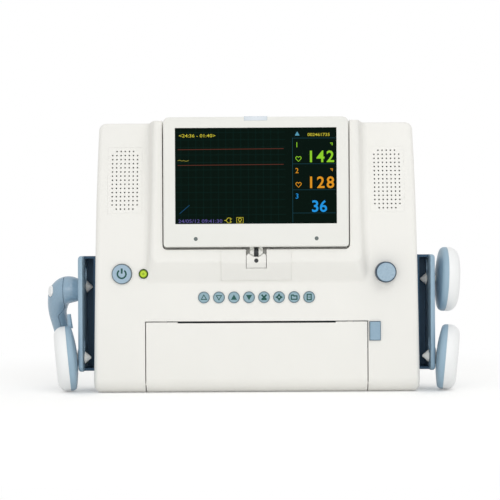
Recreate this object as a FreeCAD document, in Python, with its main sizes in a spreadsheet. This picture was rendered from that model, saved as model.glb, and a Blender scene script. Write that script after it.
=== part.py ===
import FreeCAD, Part
import math
import os
import re
import Sketcher
from FreeCAD import Placement, Rotation, Vector

# Fetal monitor, millimetres. X to the right, Y to the back, Z up, origin under the middle of the casing.
document = FreeCAD.newDocument("FetalMonitor")
sheet = document.addObject("Spreadsheet::Sheet", "Dims")

casingSizes = {
    "casing_bottom_w": 313.2,
    "casing_top_w": 304.8,
    "casing_h": 261,
    "front_reach": 39,
    "back_reach": 40,
    "seam_y": 8,
    "wall": 2.8,
    "corner_r": 7,
    "edge_r": 4.5,
    "back_edge_r": 5,
    "seam_bevel": 0.6,
    "toe_r": 14,
    "wing_start": 128,
    "wing_lean": 0.163,
    "boss_x": 143,
    "boss_low_z": 18,
    "boss_mid_drop": 123,
    "boss_drop": 11,
    "boss_r": 5.5,
    "bore_r": 1.6,
    "case_screw_r": 1.5,
    "screw_head_r": 3,
    "screw_head_h": 2.4,
    "counterbore_r": 3.5,
    "boss_floor": 5,
    "screw_reach": 14,
}
daisSizes = {
    "dais_rise": 10,
    "crest_margin": 11.95,
    "crest_taper": 5.2,
    "crest_z": 125.4,
    "foot_spread": 19.8,
    "foot_low_z": 100.4,
    "foot_sink": 3,
    "foot_taper": 10,
    "dais_drop": 0.8,
    "dais_corner_r": 10,
    "dais_edge_r": 5,
    "valley_r": 6,
    "pocket_gap": 2.3,
    "pocket_side": 1.3,
    "pocket_floor": 33,
    "pocket_r": 4.4,
}
displaySizes = {
    "display_w": 175.7,
    "display_over": 2.1,
    "display_z": 139.8,
    "display_front": 55,
    "bezel_t": 8,
    "display_back_y": 34,
    "display_r": 6,
    "display_low_r": 3.2,
    "bezel_edge_r": 1.6,
    "screen_w": 153,
    "screen_drop": 10.4,
    "screen_z": 161.7,
    "panel_margin": 3.4,
    "panel_recess": 1.6,
    "panel_t": 7.2,
    "panel_gap": 0.3,
    "shell_inset": 0.9,
    "shell_wall": 2.6,
    "shell_edge_r": 3,
    "shell_rim": 6,
    "dot_x": 57.2,
    "dot_z": 147.6,
    "dot_r": 1.9,
    "dot_depth": 3,
    "lamp_w": 22,
    "lamp_drop": 3.7,
    "lamp_t": 6,
    "lamp_proud": 0.4,
}
hingeSizes = {
    "hinge_y": 47,
    "hinge_z": 134.6,
    "barrel_r": 4.3,
    "barrel_half": 6.2,
    "barrel_tip_r": 2.4,
    "slot_half": 2.2,
    "bracket_half": 1.9,
    "pin_r": 1.5,
    "fit_gap": 0.3,
    "notch_half": 9.8,
    "notch_floor": 40,
    "notch_z": 119.6,
    "cap_gap": 0.45,
    "cap_top_z": 135.4,
    "leaf_room": 0.6,
    "shoulder_w": 4.6,
    "shoulder_h": 3.8,
    "cap_screw_z": 126.8,
    "cap_screw_r": 2,
    "cover_w": 67.4,
    "cover_z": 107.9,
    "cover_proud": 0.8,
    "leaf_t": 4,
    "bracket_foot_h": 5.2,
    "bracket_foot_half": 6.2,
    "bracket_foot_t": 1.5,
}
panelSizes = {
    "key_count": 8,
    "key_pitch": 14.4,
    "key_r": 5.35,
    "key_z": 91.7,
    "key_proud": 1.1,
    "key_gap": 0.25,
    "flange_step": 1,
    "flange_t": 1.5,
    "flange_seat": 0.2,
    "stem_r": 2,
    "stem_l": 2.4,
    "switch_a": 6,
    "switch_t": 0.8,
    "board_t": 1.6,
    "key_board_y": 30,
    "key_board_over": 14.6,
    "key_board_h": 16,
    "post_inset": 4.5,
    "post_r": 2.2,
    "power_x": 128.8,
    "power_z": 114.6,
    "power_r": 9.6,
    "power_proud": 2,
    "led_x": 108.1,
    "led_r": 4.5,
    "led_proud": 2.4,
    "led_edge_r": 1.8,
    "side_board_w": 44,
    "side_board_h": 24,
    "side_post_dx": 19.8,
    "side_post_dz": 10,
    "jog_x": 123.3,
    "jog_z": 115.3,
    "jog_r": 10,
    "jog_h": 11,
    "jog_lift": 1,
    "jog_edge_r": 2.2,
    "jog_cap": 2,
    "jog_shaft_r": 3,
    "encoder_a": 15,
    "encoder_t": 7,
    "encoder_floor": 2,
    "latch_off": 7.4,
    "latch_z": 59,
    "latch_w": 10.4,
    "latch_h": 18,
    "latch_proud": 2.4,
    "latch_edge_r": 1.2,
    "grille_x": 126.2,
    "grille_drop": 56.1,
    "grille_pitch": 4,
    "grille_hole_r": 0.75,
    "grille_rows": 15,
    "grille_cols": 7,
    "grille_w": 33,
    "grille_h": 64,
    "grille_gap": 0.02,
    "speaker_r": 14,
    "speaker_gap": 0.45,
    "speaker_t": 9,
    "magnet_r": 8,
    "magnet_t": 6,
}
printerSizes = {
    "door_w": 212,
    "door_top": 68,
    "door_gap": 0.9,
    "bay_front": 21,
    "slot_w": 151.6,
    "slot_h": 1,
    "door_axis_y": 34.6,
    "door_axis_z": 9,
    "ear_w": 6,
    "ear_r": 3,
    "door_pin_r": 1.6,
    "door_pin_l": 4,
    "bearing_w": 4.6,
    "bearing_r": 4,
    "chassis_x": 84,
    "plate_t": 2.4,
    "chassis_front": 20,
    "chassis_back": 25.6,
    "chassis_h": 70,
    "arm_front": 32.6,
    "arm_z": 50,
    "crossbar_y": 13.8,
    "crossbar_z": 52,
    "roll_r": 22,
    "roll_core_r": 7,
    "roll_w": 152,
    "roll_y": 0.2,
    "roll_gap": 0.4,
    "platen_y": 25.6,
    "platen_z": 60,
    "platen_r": 7,
    "platen_w": 152,
    "shaft_r": 3,
    "shaft_left": 88,
    "shaft_right": 94,
    "head_t": 4.4,
    "head_w": 156,
    "head_z": 54,
    "head_h": 12,
    "tooth_module": 0.8,
    "pressure_angle": 20,
    "root_share": 1.25,
    "flank_steps": 6,
    "gear_teeth": 20,
    "pinion_teeth": 14,
    "gear_x": 88.2,
    "gear_w": 4.6,
    "gear_backlash": 0.16,
    "mesh_angle": 30,
    "motor_gap": 0.6,
    "motor_r": 12.5,
    "motor_l": 16,
    "motor_shaft_r": 1.4,
    "motor_plate_t": 1.6,
    "motor_plate_a": 28,
}
rearSizes = {
    "bolt_spacing": 75,
    "bolt_hole_r": 2.05,
    "bolt_boss_r": 6,
    "bolt_depth": 11,
    "bolt_boss_l": 12,
    "bolt_z": 130,
    "socket_count": 4,
    "socket_pitch": 40,
    "socket_z": 38,
    "socket_r": 7.8,
    "socket_flange_r": 9.5,
    "socket_flange_t": 1.6,
    "socket_l": 13,
    "socket_gap": 0.1,
    "socket_bore_r": 5.5,
    "socket_bore_l": 9,
    "inlet_x": 104,
    "inlet_r": 5.5,
    "inlet_bore_r": 2.8,
    "main_board_w": 184,
    "main_board_rise": 6.5,
    "main_board_drop": 11,
    "main_board_y": 28,
    "main_post_dx": 84,
    "main_post_inset": 7,
    "main_post_r": 3,
    "chip_a": 24,
    "chip_t": 3,
    "battery_x": 58,
    "battery_w": 62,
    "battery_z": 78,
    "battery_h": 66,
    "battery_t": 20,
    "vent_pitch": 9,
    "vent_w": 3,
    "vent_h": 26,
    "vent_drop": 47,
    "vent_count": 13,
}
holderSizes = {
    "holder_z": 20,
    "holder_top": 132,
    "holder_front": 30,
    "holder_back": 16,
    "plate_in": 168,
    "plate_out": 172.4,
    "plate_edge_r": 2.6,
    "plate_corner_r": 5,
    "channel_x": 159,
    "web_t": 3,
    "end_t": 2.5,
    "rail_inner": 150,
    "low_y": 16,
    "low_z": 33.2,
    "high_y": 0,
    "high_z": 108,
    "marker_z": 101.8,
    "neck_r": 3,
    "neck_gap": 0.4,
    "entry_r": 6.6,
    "lift": 12,
    "head_base_r": 6,
    "head_tip_r": 0.8,
    "head_l": 5.8,
    "head_gap": 0.8,
    "collar_r": 8,
    "collar_t": 0.8,
    "collar_gap": 0.8,
    "flange_front": 14,
    "stud_l": 2.4,
}
probeSizes = {
    "probe_r": 31.5,
    "probe_top_gap": 4.2,
    "probe_low_gap": 2.2,
    "probe_base_t": 9.2,
    "probe_cover_t": 11.8,
    "probe_dome_r": 130,
    "probe_back_r": 4.4,
    "probe_edge_r": 9,
    "top_lean": 2.5,
    "low_lean": 5.4,
    "low_yaw": 7.6,
    "spout_l": 14,
    "spout_r": 2.6,
    "spout_tip_r": 1.8,
    "spout_in": 4.2,
    "spout_lean": 4,
}
markerSizes = {
    "marker_lean": 30,
    "marker_head_r": 13.4,
    "marker_head_out": 16,
    "marker_head_drop": 3.2,
    "marker_neck_r": 8.8,
    "marker_neck_out": 25.6,
    "marker_neck_drop": 30.3,
    "marker_tail_r": 7.3,
    "marker_tail_out": 21,
    "marker_tail_drop": 67,
    "marker_part_out": 17.3,
    "marker_part_drop": 20,
    "marker_jog_out": 24.6,
    "marker_jog_drop": 28.4,
    "marker_end_out": 17,
    "marker_end_drop": 78,
    "groove_w": 0.6,
    "groove_depth": 1,
    "thumb_r": 5.4,
    "thumb_out": 20.6,
    "thumb_drop": 5.6,
    "thumb_turn": 20,
    "thumb_rise": 15,
    "thumb_reach": 11.7,
    "thumb_t": 4,
    "thumb_gap": 0.3,
    "thumb_edge_r": 1,
}
groups = (casingSizes, daisSizes, displaySizes, hingeSizes, panelSizes,
          printerSizes, rearSizes, holderSizes, probeSizes, markerSizes)
row = 0
for group in groups:
    for alias, amount in group.items():
        row += 1
        sheet.set(f"A{row}", alias)
        sheet.set(f"B{row}", str(amount))
        sheet.setAlias(f"B{row}", alias)
document.recompute()
known = {alias for group in groups for alias in group}
nodes = []


def size(alias):
    return float(sheet.get(alias))


def bound(text):
    def full(hit):
        word = hit.group()
        return "Dims." + word if word in known else word
    return re.sub(r"[a-z_]+[a-z_0-9]*", full, text)


def bind(item, **values):
    for name, text in values.items():
        item.setExpression(name, bound(text))


def place(item, at, axis=None, angle="0"):
    if axis:
        item.Placement = Placement(Vector(), Rotation(Vector(*axis), 1))
        item.setExpression("Placement.Rotation.Angle", bound(angle))
    for letter, text in zip("xyz", at):
        item.setExpression("Placement.Base." + letter, bound(text))


def box(name, spanX, spanY, spanZ):
    item = document.addObject("Part::Box", name)
    bind(item, Length=f"({spanX[1]}) - ({spanX[0]})", Width=f"({spanY[1]}) - ({spanY[0]})",
         Height=f"({spanZ[1]}) - ({spanZ[0]})")
    place(item, (spanX[0], spanY[0], spanZ[0]))
    return item


turns = {"+X": ((0, 1, 0), "90"), "-X": ((0, 1, 0), "-90"), "+Y": ((1, 0, 0), "-90")}


def rod(name, way, radius, length, at):
    item = document.addObject("Part::Cylinder", name)
    bind(item, Radius=radius, Height=length)
    place(item, at, *turns[way])
    return item


def cone(name, way, radius, tip, length, at):
    item = document.addObject("Part::Cone", name)
    bind(item, Radius1=radius, Radius2=tip, Height=length)
    place(item, at, *turns[way])
    return item


def fuse(name, items):
    item = document.addObject("Part::MultiFuse", name)
    item.Shapes = items
    item.Refine = True
    return item


def cut(name, base, tools):
    item = document.addObject("Part::Cut", name)
    item.Base = base
    item.Tool = tools[0] if len(tools) == 1 else fuse(name + "_tools", tools)
    item.Refine = True
    return item


def common(name, first, second):
    item = document.addObject("Part::Common", name)
    item.Base = first
    item.Tool = second
    item.Refine = True
    return item


def compound(name, items):
    item = document.addObject("Part::Compound", name)
    item.Links = items
    return item


def rounded(name, base, radius, test):
    document.recompute()
    item = document.addObject("Part::Fillet", name)
    item.Base = base
    item.Edges = [(place + 1, radius, radius) for place, edge in enumerate(base.Shape.Edges) if test(edge)]
    document.recompute()
    return item


planes = {"front": "XZ_Plane", "side": "YZ_Plane", "top": "XY_Plane"}


def pad(name, plane, points, length, start="0"):
    body = document.addObject("PartDesign::Body", name)
    base = [feature for feature in body.Origin.OriginFeatures if feature.Role == planes[plane]][0]
    sketch = body.newObject("Sketcher::SketchObject", name + "_outline")
    sketch.AttachmentSupport = (base, [""])
    sketch.MapMode = "FlatFace"
    sign = "-1" if plane == "front" else "1"
    sketch.setExpression("AttachmentOffset.Base.z", bound(f"{sign} * ({start})"))
    count = len(points)
    angles = [2 * math.pi * n / count for n in range(count)]
    ring = [Vector(math.cos(angle), math.sin(angle), 0) for angle in angles]
    for n in range(count):
        sketch.addGeometry(Part.LineSegment(ring[n], ring[(n + 1) % count]))
    for n in range(count):
        sketch.addConstraint(Sketcher.Constraint("Coincident", n, 2, (n + 1) % count, 1))
    for n, (across, up) in enumerate(points):
        for kind, text, now in (("DistanceX", across, ring[n].x), ("DistanceY", up, ring[n].y)):
            number = sketch.addConstraint(Sketcher.Constraint(kind, -1, 1, n, 1, now))
            sketch.setExpression(f"Constraints[{number}]", bound(text))
    feature = body.newObject("PartDesign::Pad", name + "_pad")
    feature.Profile = sketch
    feature.Reversed = plane == "front"
    bind(feature, Length=length)
    document.recompute()
    return body


def soften(body, radius, test):
    document.recompute()
    last = body.Tip
    names = [f"Edge{place + 1}" for place, edge in enumerate(last.Shape.Edges) if test(edge)]
    feature = body.newObject("PartDesign::Fillet", f"{body.Name}_round{len(body.Group)}")
    feature.Base = (last, names)
    bind(feature, Radius=radius)
    document.recompute()
    return body


def along(letter):
    def test(edge):
        way = edge.tangentAt(edge.FirstParameter)
        return edge.Curve.TypeId == "Part::GeomLine" and abs(getattr(way, letter)) > 0.99
    return test


def near(number, goal):
    return abs(number - goal) < 0.01


def middle(edge):
    return edge.valueAt((edge.FirstParameter + edge.LastParameter) / 2)


def node(label, item):
    item.Label = label
    nodes.append(item)
    return item


# Outer and inner form of the casing: tapered front outline, wings that curve back, rounded toe.
wingSetback = "(wing_lean * (casing_h - wing_start))"
wingRadius = f"((casing_h - wing_start)^2 + {wingSetback}^2) / (2 * {wingSetback})"


def outline(inset, low):
    half = f"casing_bottom_w / 2 - {inset}"
    top = f"casing_top_w / 2 - {inset}"
    return [(f"-({half})", low), (half, low), (top, f"casing_h - {inset}"),
            (f"-({top})", f"casing_h - {inset}")]


def frontForm(name, inset):
    block = pad(name + "_block", "front", outline(inset, inset), f"front_reach + seam_y - {inset}",
                f"{inset} - front_reach")
    soften(block, f"corner_r - {inset} / 2", along("y"))
    wide = ("-casing_bottom_w", "casing_bottom_w")
    wingBox = box(name + "_wing_box", wide, ("-2 * front_reach", "0"), ("wing_start", "casing_h + wall"))
    wingRod = rod(name + "_wing_rod", "+X", f"{wingRadius} - {inset}", "2 * casing_bottom_w",
                  ("-casing_bottom_w", f"{wingRadius} - front_reach", "wing_start"))
    toeBox = box(name + "_toe_box", wide, ("-2 * front_reach", "toe_r - front_reach"), ("-wall", "toe_r"))
    toeRod = rod(name + "_toe_rod", "+X", f"toe_r - {inset}", "2 * casing_bottom_w",
                 ("-casing_bottom_w", "toe_r - front_reach", "toe_r"))
    wing = cut(name + "_wing", wingBox, [wingRod])
    toe = cut(name + "_toe", toeBox, [toeRod])
    return cut(name, block, [wing, toe])


sharpForm = frontForm("sharp_form", "0")
innerForm = frontForm("inner_form", "wall")
document.recompute()
setback = size("wing_lean") * (size("casing_h") - size("wing_start"))
frontFaces = [face for face in sharpForm.Shape.Faces if abs(face.normalAt(0.5, 0.5).x) < 0.01
              and face.CenterOfMass.y < -setback / 2 and face.BoundBox.XLength > size("door_w")]
rimEdges = []
for face in frontFaces:
    for edge in face.Edges:
        shared = sum(1 for other in frontFaces for one in other.Edges if one.isSame(edge))
        if shared == 1 and middle(edge).z > 1:
            rimEdges.append(edge)
outerForm = rounded("outer_form", sharpForm, size("edge_r"),
                    lambda edge: any(edge.isSame(one) for one in rimEdges))


# Raised platform round the display, ruled between its crest and a foot line sunk under the wings.
crestLow = size("display_w") / 2 + size("crest_margin")
crestTop = crestLow - size("crest_taper") / 2
footLow = crestLow + size("foot_spread") / 2
footTop = footLow - size("foot_taper") / 2


def platform(name, inset):
    front = -size("front_reach") - size("dais_rise") + inset
    top = size("casing_h") - size("dais_drop") - inset
    crestZ = size("crest_z") + inset
    crest = [(inset - crestLow, front, crestZ), (crestLow - inset, front, crestZ),
             (crestTop - inset, front, top), (inset - crestTop, front, top)]
    low = -size("front_reach") + size("foot_sink") + inset
    high = -size("front_reach") + setback + size("foot_sink")
    footZ = size("foot_low_z") + inset
    foot = [(inset - footLow, low, footZ), (footLow - inset, low, footZ),
            (footTop - inset, high, top), (inset - footTop, high, top)]
    wires = [Part.makePolygon([Vector(*point) for point in ring + ring[:1]]) for ring in (crest, foot)]
    item = document.addObject("Part::Feature", name)
    item.Shape = Part.makeLoft(wires, True, True)
    return item


daisSharp = platform("dais_sharp", 0)
daisInner = platform("dais_inner", size("wall"))
lowSlant = size("crest_z")


def daisCorner(edge):
    heights = sorted(vertex.Point.z for vertex in edge.Vertexes)
    outside = abs(middle(edge).x) > crestTop / 2
    return heights[0] < lowSlant - 1 and near(heights[-1], lowSlant) and outside


daisCornered = rounded("dais_cornered", daisSharp, size("dais_corner_r"), daisCorner)
crestY = -size("front_reach") - size("dais_rise")


def daisCrest(edge):
    onCrest = near(edge.BoundBox.YMin, crestY) and near(edge.BoundBox.YMax, crestY)
    return onCrest and middle(edge).z < size("casing_h") - size("dais_edge_r")


daisRound = rounded("dais_round", daisCornered, size("dais_edge_r"), daisCrest)
skinSharp = fuse("skin_sharp", [outerForm, daisRound])
document.recompute()


def onSurface(item, spot):
    return min(face.distToShape(Part.Vertex(spot))[0] for face in item.Shape.Faces) < 0.02


def inValley(edge):
    if edge.BoundBox.ZMin > size("casing_h") - 2 * size("edge_r"):
        return False
    length = edge.LastParameter - edge.FirstParameter
    spots = [edge.valueAt(edge.FirstParameter + part * length) for part in (0.3, 0.7)]
    return all(onSurface(outerForm, spot) and onSurface(daisRound, spot) for spot in spots)


skin = rounded("skin", skinSharp, size("valley_r"), inValley)


# Hollow of the front housing, display pocket, hinge notch and every opening of the front.
def mirrored(text):
    return (f"-({text})", text)


def sided(side, near_x, far_x):
    return (near_x, far_x) if side > 0 else (f"-({far_x})", f"-({near_x})")


ahead = "-2 * front_reach"
inside = "wall - front_reach"
pocketHalf = "display_w / 2 + pocket_side"
pocketBox = box("pocket_box", mirrored(pocketHalf), (ahead, "-pocket_floor"),
                ("display_z - pocket_gap", "2 * casing_h"))
lowCorner = size("display_z")
pocket = rounded("pocket", pocketBox, size("pocket_r"),
                 lambda edge: along("y")(edge) and middle(edge).z < lowCorner)
pocketWall = box("pocket_wall", mirrored(f"{pocketHalf} + wall"), (ahead, "wall - pocket_floor"),
                 ("display_z - pocket_gap - wall", "2 * casing_h"))
notch = box("notch", mirrored("notch_half"), (ahead, "-notch_floor"), ("notch_z", "display_z"))
notchWall = box("notch_wall", mirrored("notch_half + wall"), (ahead, "wall - notch_floor"),
                ("notch_z - wall", "display_z"))
hollow = fuse("hollow", [innerForm, daisInner])
cavity = cut("cavity", hollow, [pocketWall, notchWall])
doorway = box("doorway", mirrored("door_w / 2 + door_gap"), (ahead, "-bay_front"),
              ("-wall", "door_top + door_gap"))
openings = [cavity, pocket, notch, doorway]
keyPlaces = [f"({number} - (key_count - 1) / 2) * key_pitch" for number in range(int(size("key_count")))]
keyBoardHalf = "(key_count - 1) / 2 * key_pitch + key_board_over"
for number, across in enumerate(keyPlaces):
    openings.append(rod(f"key_hole_{number}", "+Y", "key_r + key_gap", "front_reach",
                        (across, "-front_reach - wall", "key_z")))
openings.append(rod("power_hole", "+Y", "power_r + key_gap", "2 * wall",
                    ("-power_x", "-front_reach - wall / 2", "power_z")))
openings.append(rod("led_hole", "+Y", "led_r + key_gap", "3 * wall",
                    ("-led_x", "-front_reach - 3 * wall / 2", "power_z")))
openings.append(rod("jog_hole", "+Y", "jog_shaft_r + 2 * fit_gap", "2 * wall",
                    ("jog_x", "-front_reach - wall / 2", "jog_z")))
latchX = "(door_w / 2 + latch_off)"


def latchSpan(step):
    return ((f"{latchX} - latch_w / 2 - {step}", f"{latchX} + latch_w / 2 + {step}"),
            (f"latch_z - latch_h / 2 - {step}", f"latch_z + latch_h / 2 + {step}"))


holeWide, holeTall = latchSpan("fit_gap")
openings.append(box("latch_hole", holeWide, ("-front_reach - wall", f"{inside} + wall"), holeTall))
grilleZ = "casing_h - grille_drop"
grilleSpanZ = (f"{grilleZ} - grille_h / 2", f"{grilleZ} + grille_h / 2")
for side in (-1, 1):
    openings.append(box(f"grille_window_{side + 1}",
                        sided(side, "grille_x - grille_w / 2", "grille_x + grille_w / 2"),
                        (ahead, "0"), grilleSpanZ))
opened = cut("opened", skin, openings)
posts = []
drills = []
bossHeights = ("boss_low_z", "casing_h - boss_mid_drop", "casing_h - boss_drop")
for side in (-1, 1):
    for number, height in enumerate(bossHeights):
        across = f"{side} * boss_x"
        posts.append(rod(f"boss_{side + 1}_{number}", "+Y", "boss_r", "front_reach + seam_y",
                         (across, "-front_reach", height)))
        drills.append(rod(f"bore_{side + 1}_{number}", "+Y", "bore_r", "screw_reach",
                          (across, "seam_y - screw_reach + boss_floor / 2", height)))
    start = "door_w / 2 + door_gap" if side > 0 else "-(door_w / 2 + door_gap + bearing_w)"
    posts.append(rod(f"bearing_{side + 1}", "+X", "bearing_r", "bearing_w",
                     (start, "-door_axis_y", "door_axis_z")))
    drills.append(rod(f"bearing_bore_{side + 1}", "+X", "door_pin_r + fit_gap", "bearing_w",
                      (start, "-door_axis_y", "door_axis_z")))
    posts.append(rod(f"key_post_{side + 1}", "+Y", "post_r", "front_reach - key_board_y",
                     (f"{side} * ({keyBoardHalf} - post_inset)", "-front_reach", "key_z")))
sideMiddle = "(power_x + led_x) / 2"
sidePosts = ((f"-({sideMiddle} + side_post_dx)", "power_z + side_post_dz"),
             (f"-({sideMiddle} + side_post_dx)", "power_z - side_post_dz"),
             ("-(led_x + led_r)", "power_z - side_post_dz"))
for number, (across, height) in enumerate(sidePosts):
    posts.append(rod(f"side_post_{number}", "+Y", "post_r", "front_reach - key_board_y",
                     (across, "-front_reach", height)))
kept = common("posts_kept", fuse("posts", posts), outerForm)
node("front_housing", cut("front_housing_solid", fuse("front_joined", [opened, kept]), drills))

# Grille plates: slices of the same skin with rows of holes.
frontShell = cut("front_shell", outerForm, [innerForm])
plates = []
rows = int(size("grille_rows"))
columns = int(size("grille_cols"))
for side in (-1, 1):
    wide = sided(side, "grille_x - grille_w / 2 + grille_gap", "grille_x + grille_w / 2 - grille_gap")
    tall = (f"{grilleSpanZ[0]} + grille_gap", f"{grilleSpanZ[1]} - grille_gap")
    window = box(f"grille_box_{side + 1}", wide, (ahead, "0"), tall)
    plate = common(f"grille_plate_{side + 1}", frontShell, window)
    holes = []
    for line in range(rows):
        first = 1 if line in (0, rows - 1) else 0
        height = f"{grilleZ} + ({line} - (grille_rows - 1) / 2) * grille_pitch"
        for column in range(first, columns - first):
            across = f"{side} * grille_x + ({column} - (grille_cols - 1) / 2) * grille_pitch"
            holes.append(rod(f"hole_{side + 1}_{line}_{column}", "+Y", "grille_hole_r", "front_reach",
                             (across, "-front_reach", height)))
    plates.append(cut(f"grille_{side + 1}", plate, [compound(f"grille_holes_{side + 1}", holes)]))
node("speaker_grilles", compound("speaker_grilles_pair", plates))
drivers = []
speakerRise = f"({grilleZ} + speaker_r - wing_start)"
wingDepth = f"{wingRadius} - sqrt(({wingRadius})^2 - {speakerRise}^2)"
speakerY = f"wall + speaker_gap - front_reach + {wingDepth}"
for side in (-1, 1):
    frame = rod(f"driver_frame_{side + 1}", "+Y", "speaker_r", "speaker_t",
                (f"{side} * grille_x", speakerY, grilleZ))
    magnet = rod(f"driver_magnet_{side + 1}", "+Y", "magnet_r", "magnet_t",
                 (f"{side} * grille_x", f"{speakerY} + speaker_t", grilleZ))
    drivers.append(fuse(f"driver_{side + 1}", [frame, magnet]))
node("speakers", compound("speakers_pair", drivers))

# Rear housing: tray with screw wells, wall-mount bosses, socket holes and vents.
rearBlock = pad("rear_block", "front", outline("0", "0"), "back_reach - seam_y", "seam_y")
soften(rearBlock, "corner_r", along("y"))
backY = size("back_reach")
soften(rearBlock, "back_edge_r", lambda edge: near(edge.BoundBox.YMin, backY))
seamY = size("seam_y")
soften(rearBlock, "seam_bevel", lambda edge: near(edge.BoundBox.YMax, seamY))
rearHollow = pad("rear_hollow", "front", outline("wall", "wall"), "back_reach - seam_y - wall", "seam_y")
rearTray = cut("rear_tray", rearBlock, [rearHollow])
rearAdds = [rearTray]
rearCuts = []
screws = []
for side in (-1, 1):
    for number, height in enumerate(bossHeights):
        tag = f"{side + 1}_{number}"
        across = f"{side} * boss_x"
        rearAdds.append(rod("well_" + tag, "+Y", "boss_r", "back_reach - seam_y - wall",
                            (across, "seam_y", height)))
        rearCuts.append(rod("well_bore_" + tag, "+Y", "bore_r", "back_reach", (across, "seam_y", height)))
        rearCuts.append(rod("well_mouth_" + tag, "+Y", "counterbore_r", "back_reach",
                            (across, "seam_y + boss_floor", height)))
        head = rod("screw_head_" + tag, "+Y", "screw_head_r", "screw_head_h",
                   (across, "seam_y + boss_floor", height))
        shank = rod("screw_shank_" + tag, "+Y", "case_screw_r", "screw_reach",
                    (across, "seam_y + boss_floor - screw_reach", height))
        screws.append(fuse("screw_" + tag, [head, shank]))
node("case_screws", compound("case_screws_set", screws))
boardZ = "bolt_z + bolt_spacing / 2 + bolt_boss_r + main_board_rise"
boardH = f"(casing_h - main_board_drop - ({boardZ}))"
boardMiddle = f"{boardZ} + {boardH} / 2"
for across in (-1, 1):
    for rise in (-1, 1):
        tag = f"{across + 1}_{rise + 1}"
        spot = (f"{across} * bolt_spacing / 2", f"bolt_z + {rise} * bolt_spacing / 2")
        rearAdds.append(rod("bolt_boss_" + tag, "+Y", "bolt_boss_r", "bolt_boss_l",
                            (spot[0], "back_reach - bolt_boss_l", spot[1])))
        rearCuts.append(rod("bolt_hole_" + tag, "+Y", "bolt_hole_r", "2 * bolt_depth",
                            (spot[0], "back_reach - bolt_depth", spot[1])))
        rearAdds.append(rod("board_post_" + tag, "+Y", "main_post_r",
                            "back_reach - wall / 2 - main_board_y - board_t",
                            (f"{across} * main_post_dx", "main_board_y + board_t",
                             f"{boardMiddle} + {rise} * ({boardH} / 2 - main_post_inset)")))
sockets = []
socketPlaces = [f"({number} - (socket_count - 1) / 2) * socket_pitch"
                for number in range(int(size("socket_count")))]
socketKinds = [("socket_r", "socket_flange_r", "socket_bore_r", across) for across in socketPlaces]
socketKinds.append(("inlet_r", "inlet_r + socket_flange_t", "inlet_bore_r", "inlet_x"))
for number, (outer, flange, bore, across) in enumerate(socketKinds):
    rearCuts.append(rod(f"socket_hole_{number}", "+Y", outer + " + socket_gap", "back_reach",
                        (across, "back_reach - 2 * wall", "socket_z")))
    barrel = rod(f"socket_barrel_{number}", "+Y", outer, "socket_l",
                 (across, "back_reach - socket_l", "socket_z"))
    rim = rod(f"socket_rim_{number}", "+Y", flange, "socket_flange_t", (across, "back_reach", "socket_z"))
    well = rod(f"socket_well_{number}", "+Y", bore, "2 * socket_bore_l",
               (across, "back_reach + socket_flange_t - socket_bore_l", "socket_z"))
    sockets.append(cut(f"socket_{number}", fuse(f"socket_body_{number}", [barrel, rim]), [well]))
node("rear_sockets", compound("rear_sockets_set", sockets))
for number in range(int(size("vent_count"))):
    across = f"({number} - (vent_count - 1) / 2) * vent_pitch"
    rearCuts.append(box(f"vent_{number}", (f"{across} - vent_w / 2", f"{across} + vent_w / 2"),
                        ("back_reach - 2 * wall", "2 * back_reach"),
                        ("casing_h - vent_drop", "casing_h - vent_drop + vent_h")))
node("rear_housing", cut("rear_housing_solid", fuse("rear_joined", rearAdds), rearCuts))
board = box("main_board_plate", mirrored("main_board_w / 2"), ("main_board_y", "main_board_y + board_t"),
            (boardZ, "casing_h - main_board_drop"))
chips = [board]
for side in (-1, 1):
    chips.append(box(f"chip_{side + 1}", (f"{side} * chip_a - chip_a / 2", f"{side} * chip_a + chip_a / 2"),
                     ("main_board_y - chip_t", "main_board_y"),
                     (f"{boardMiddle} - chip_a / 2", f"{boardMiddle} + chip_a / 2")))
node("main_board", fuse("main_board_solid", chips))
node("battery_pack", box("battery_block", ("battery_x", "battery_x + battery_w"),
                         ("back_reach - wall - battery_t", "back_reach - wall"),
                         ("battery_z", "battery_z + battery_h")))

# Hinge cover and cap follow the platform, a little proud of it.
proud = size("cover_proud")
coverSharp = platform("cover_sharp", -proud)


def coverCrest(edge):
    return near(middle(edge).y, crestY - proud) and near(middle(edge).z, lowSlant - proud)


coverForm = rounded("cover_form", coverSharp, size("dais_edge_r"), coverCrest)
coverBox = box("cover_box", mirrored("cover_w / 2"), (ahead, "-notch_floor / 2"),
               ("cover_z", "display_z - pocket_gap"))
coverSlice = common("cover_slice", coverForm, coverBox)
node("hinge_cover", cut("hinge_cover_solid", coverSlice, [skin, notch]))
capBox = box("cap_box", mirrored("notch_half - cap_gap"), (ahead, "-notch_floor"),
             ("notch_z + fit_gap", "cap_top_z"))
capSlice = common("cap_slice", coverForm, capBox)
hingeAt = ("-hinge_y", "hinge_z")
roomHalf = "barrel_half + 2 * fit_gap"
barrelRoom = rod("barrel_room", "+X", "barrel_r + 2 * fit_gap", "2 * slot_half", ("-slot_half",) + hingeAt)
leafRoom = box("leaf_room_box", mirrored(roomHalf), (ahead, "0"), ("hinge_z - leaf_room", "display_z"))
bladeRoom = box("blade_room", mirrored("bracket_half + fit_gap"), ("-hinge_y", "0"),
                ("hinge_z - leaf_t / 2 - fit_gap", "display_z"))
footRoom = box("foot_room", mirrored("bracket_foot_half + fit_gap"),
               ("-notch_floor - bracket_foot_t - fit_gap", "0"),
               ("hinge_z - bracket_foot_h / 2 - fit_gap", "display_z"))
capCuts = [barrelRoom, leafRoom, bladeRoom, footRoom]
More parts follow.
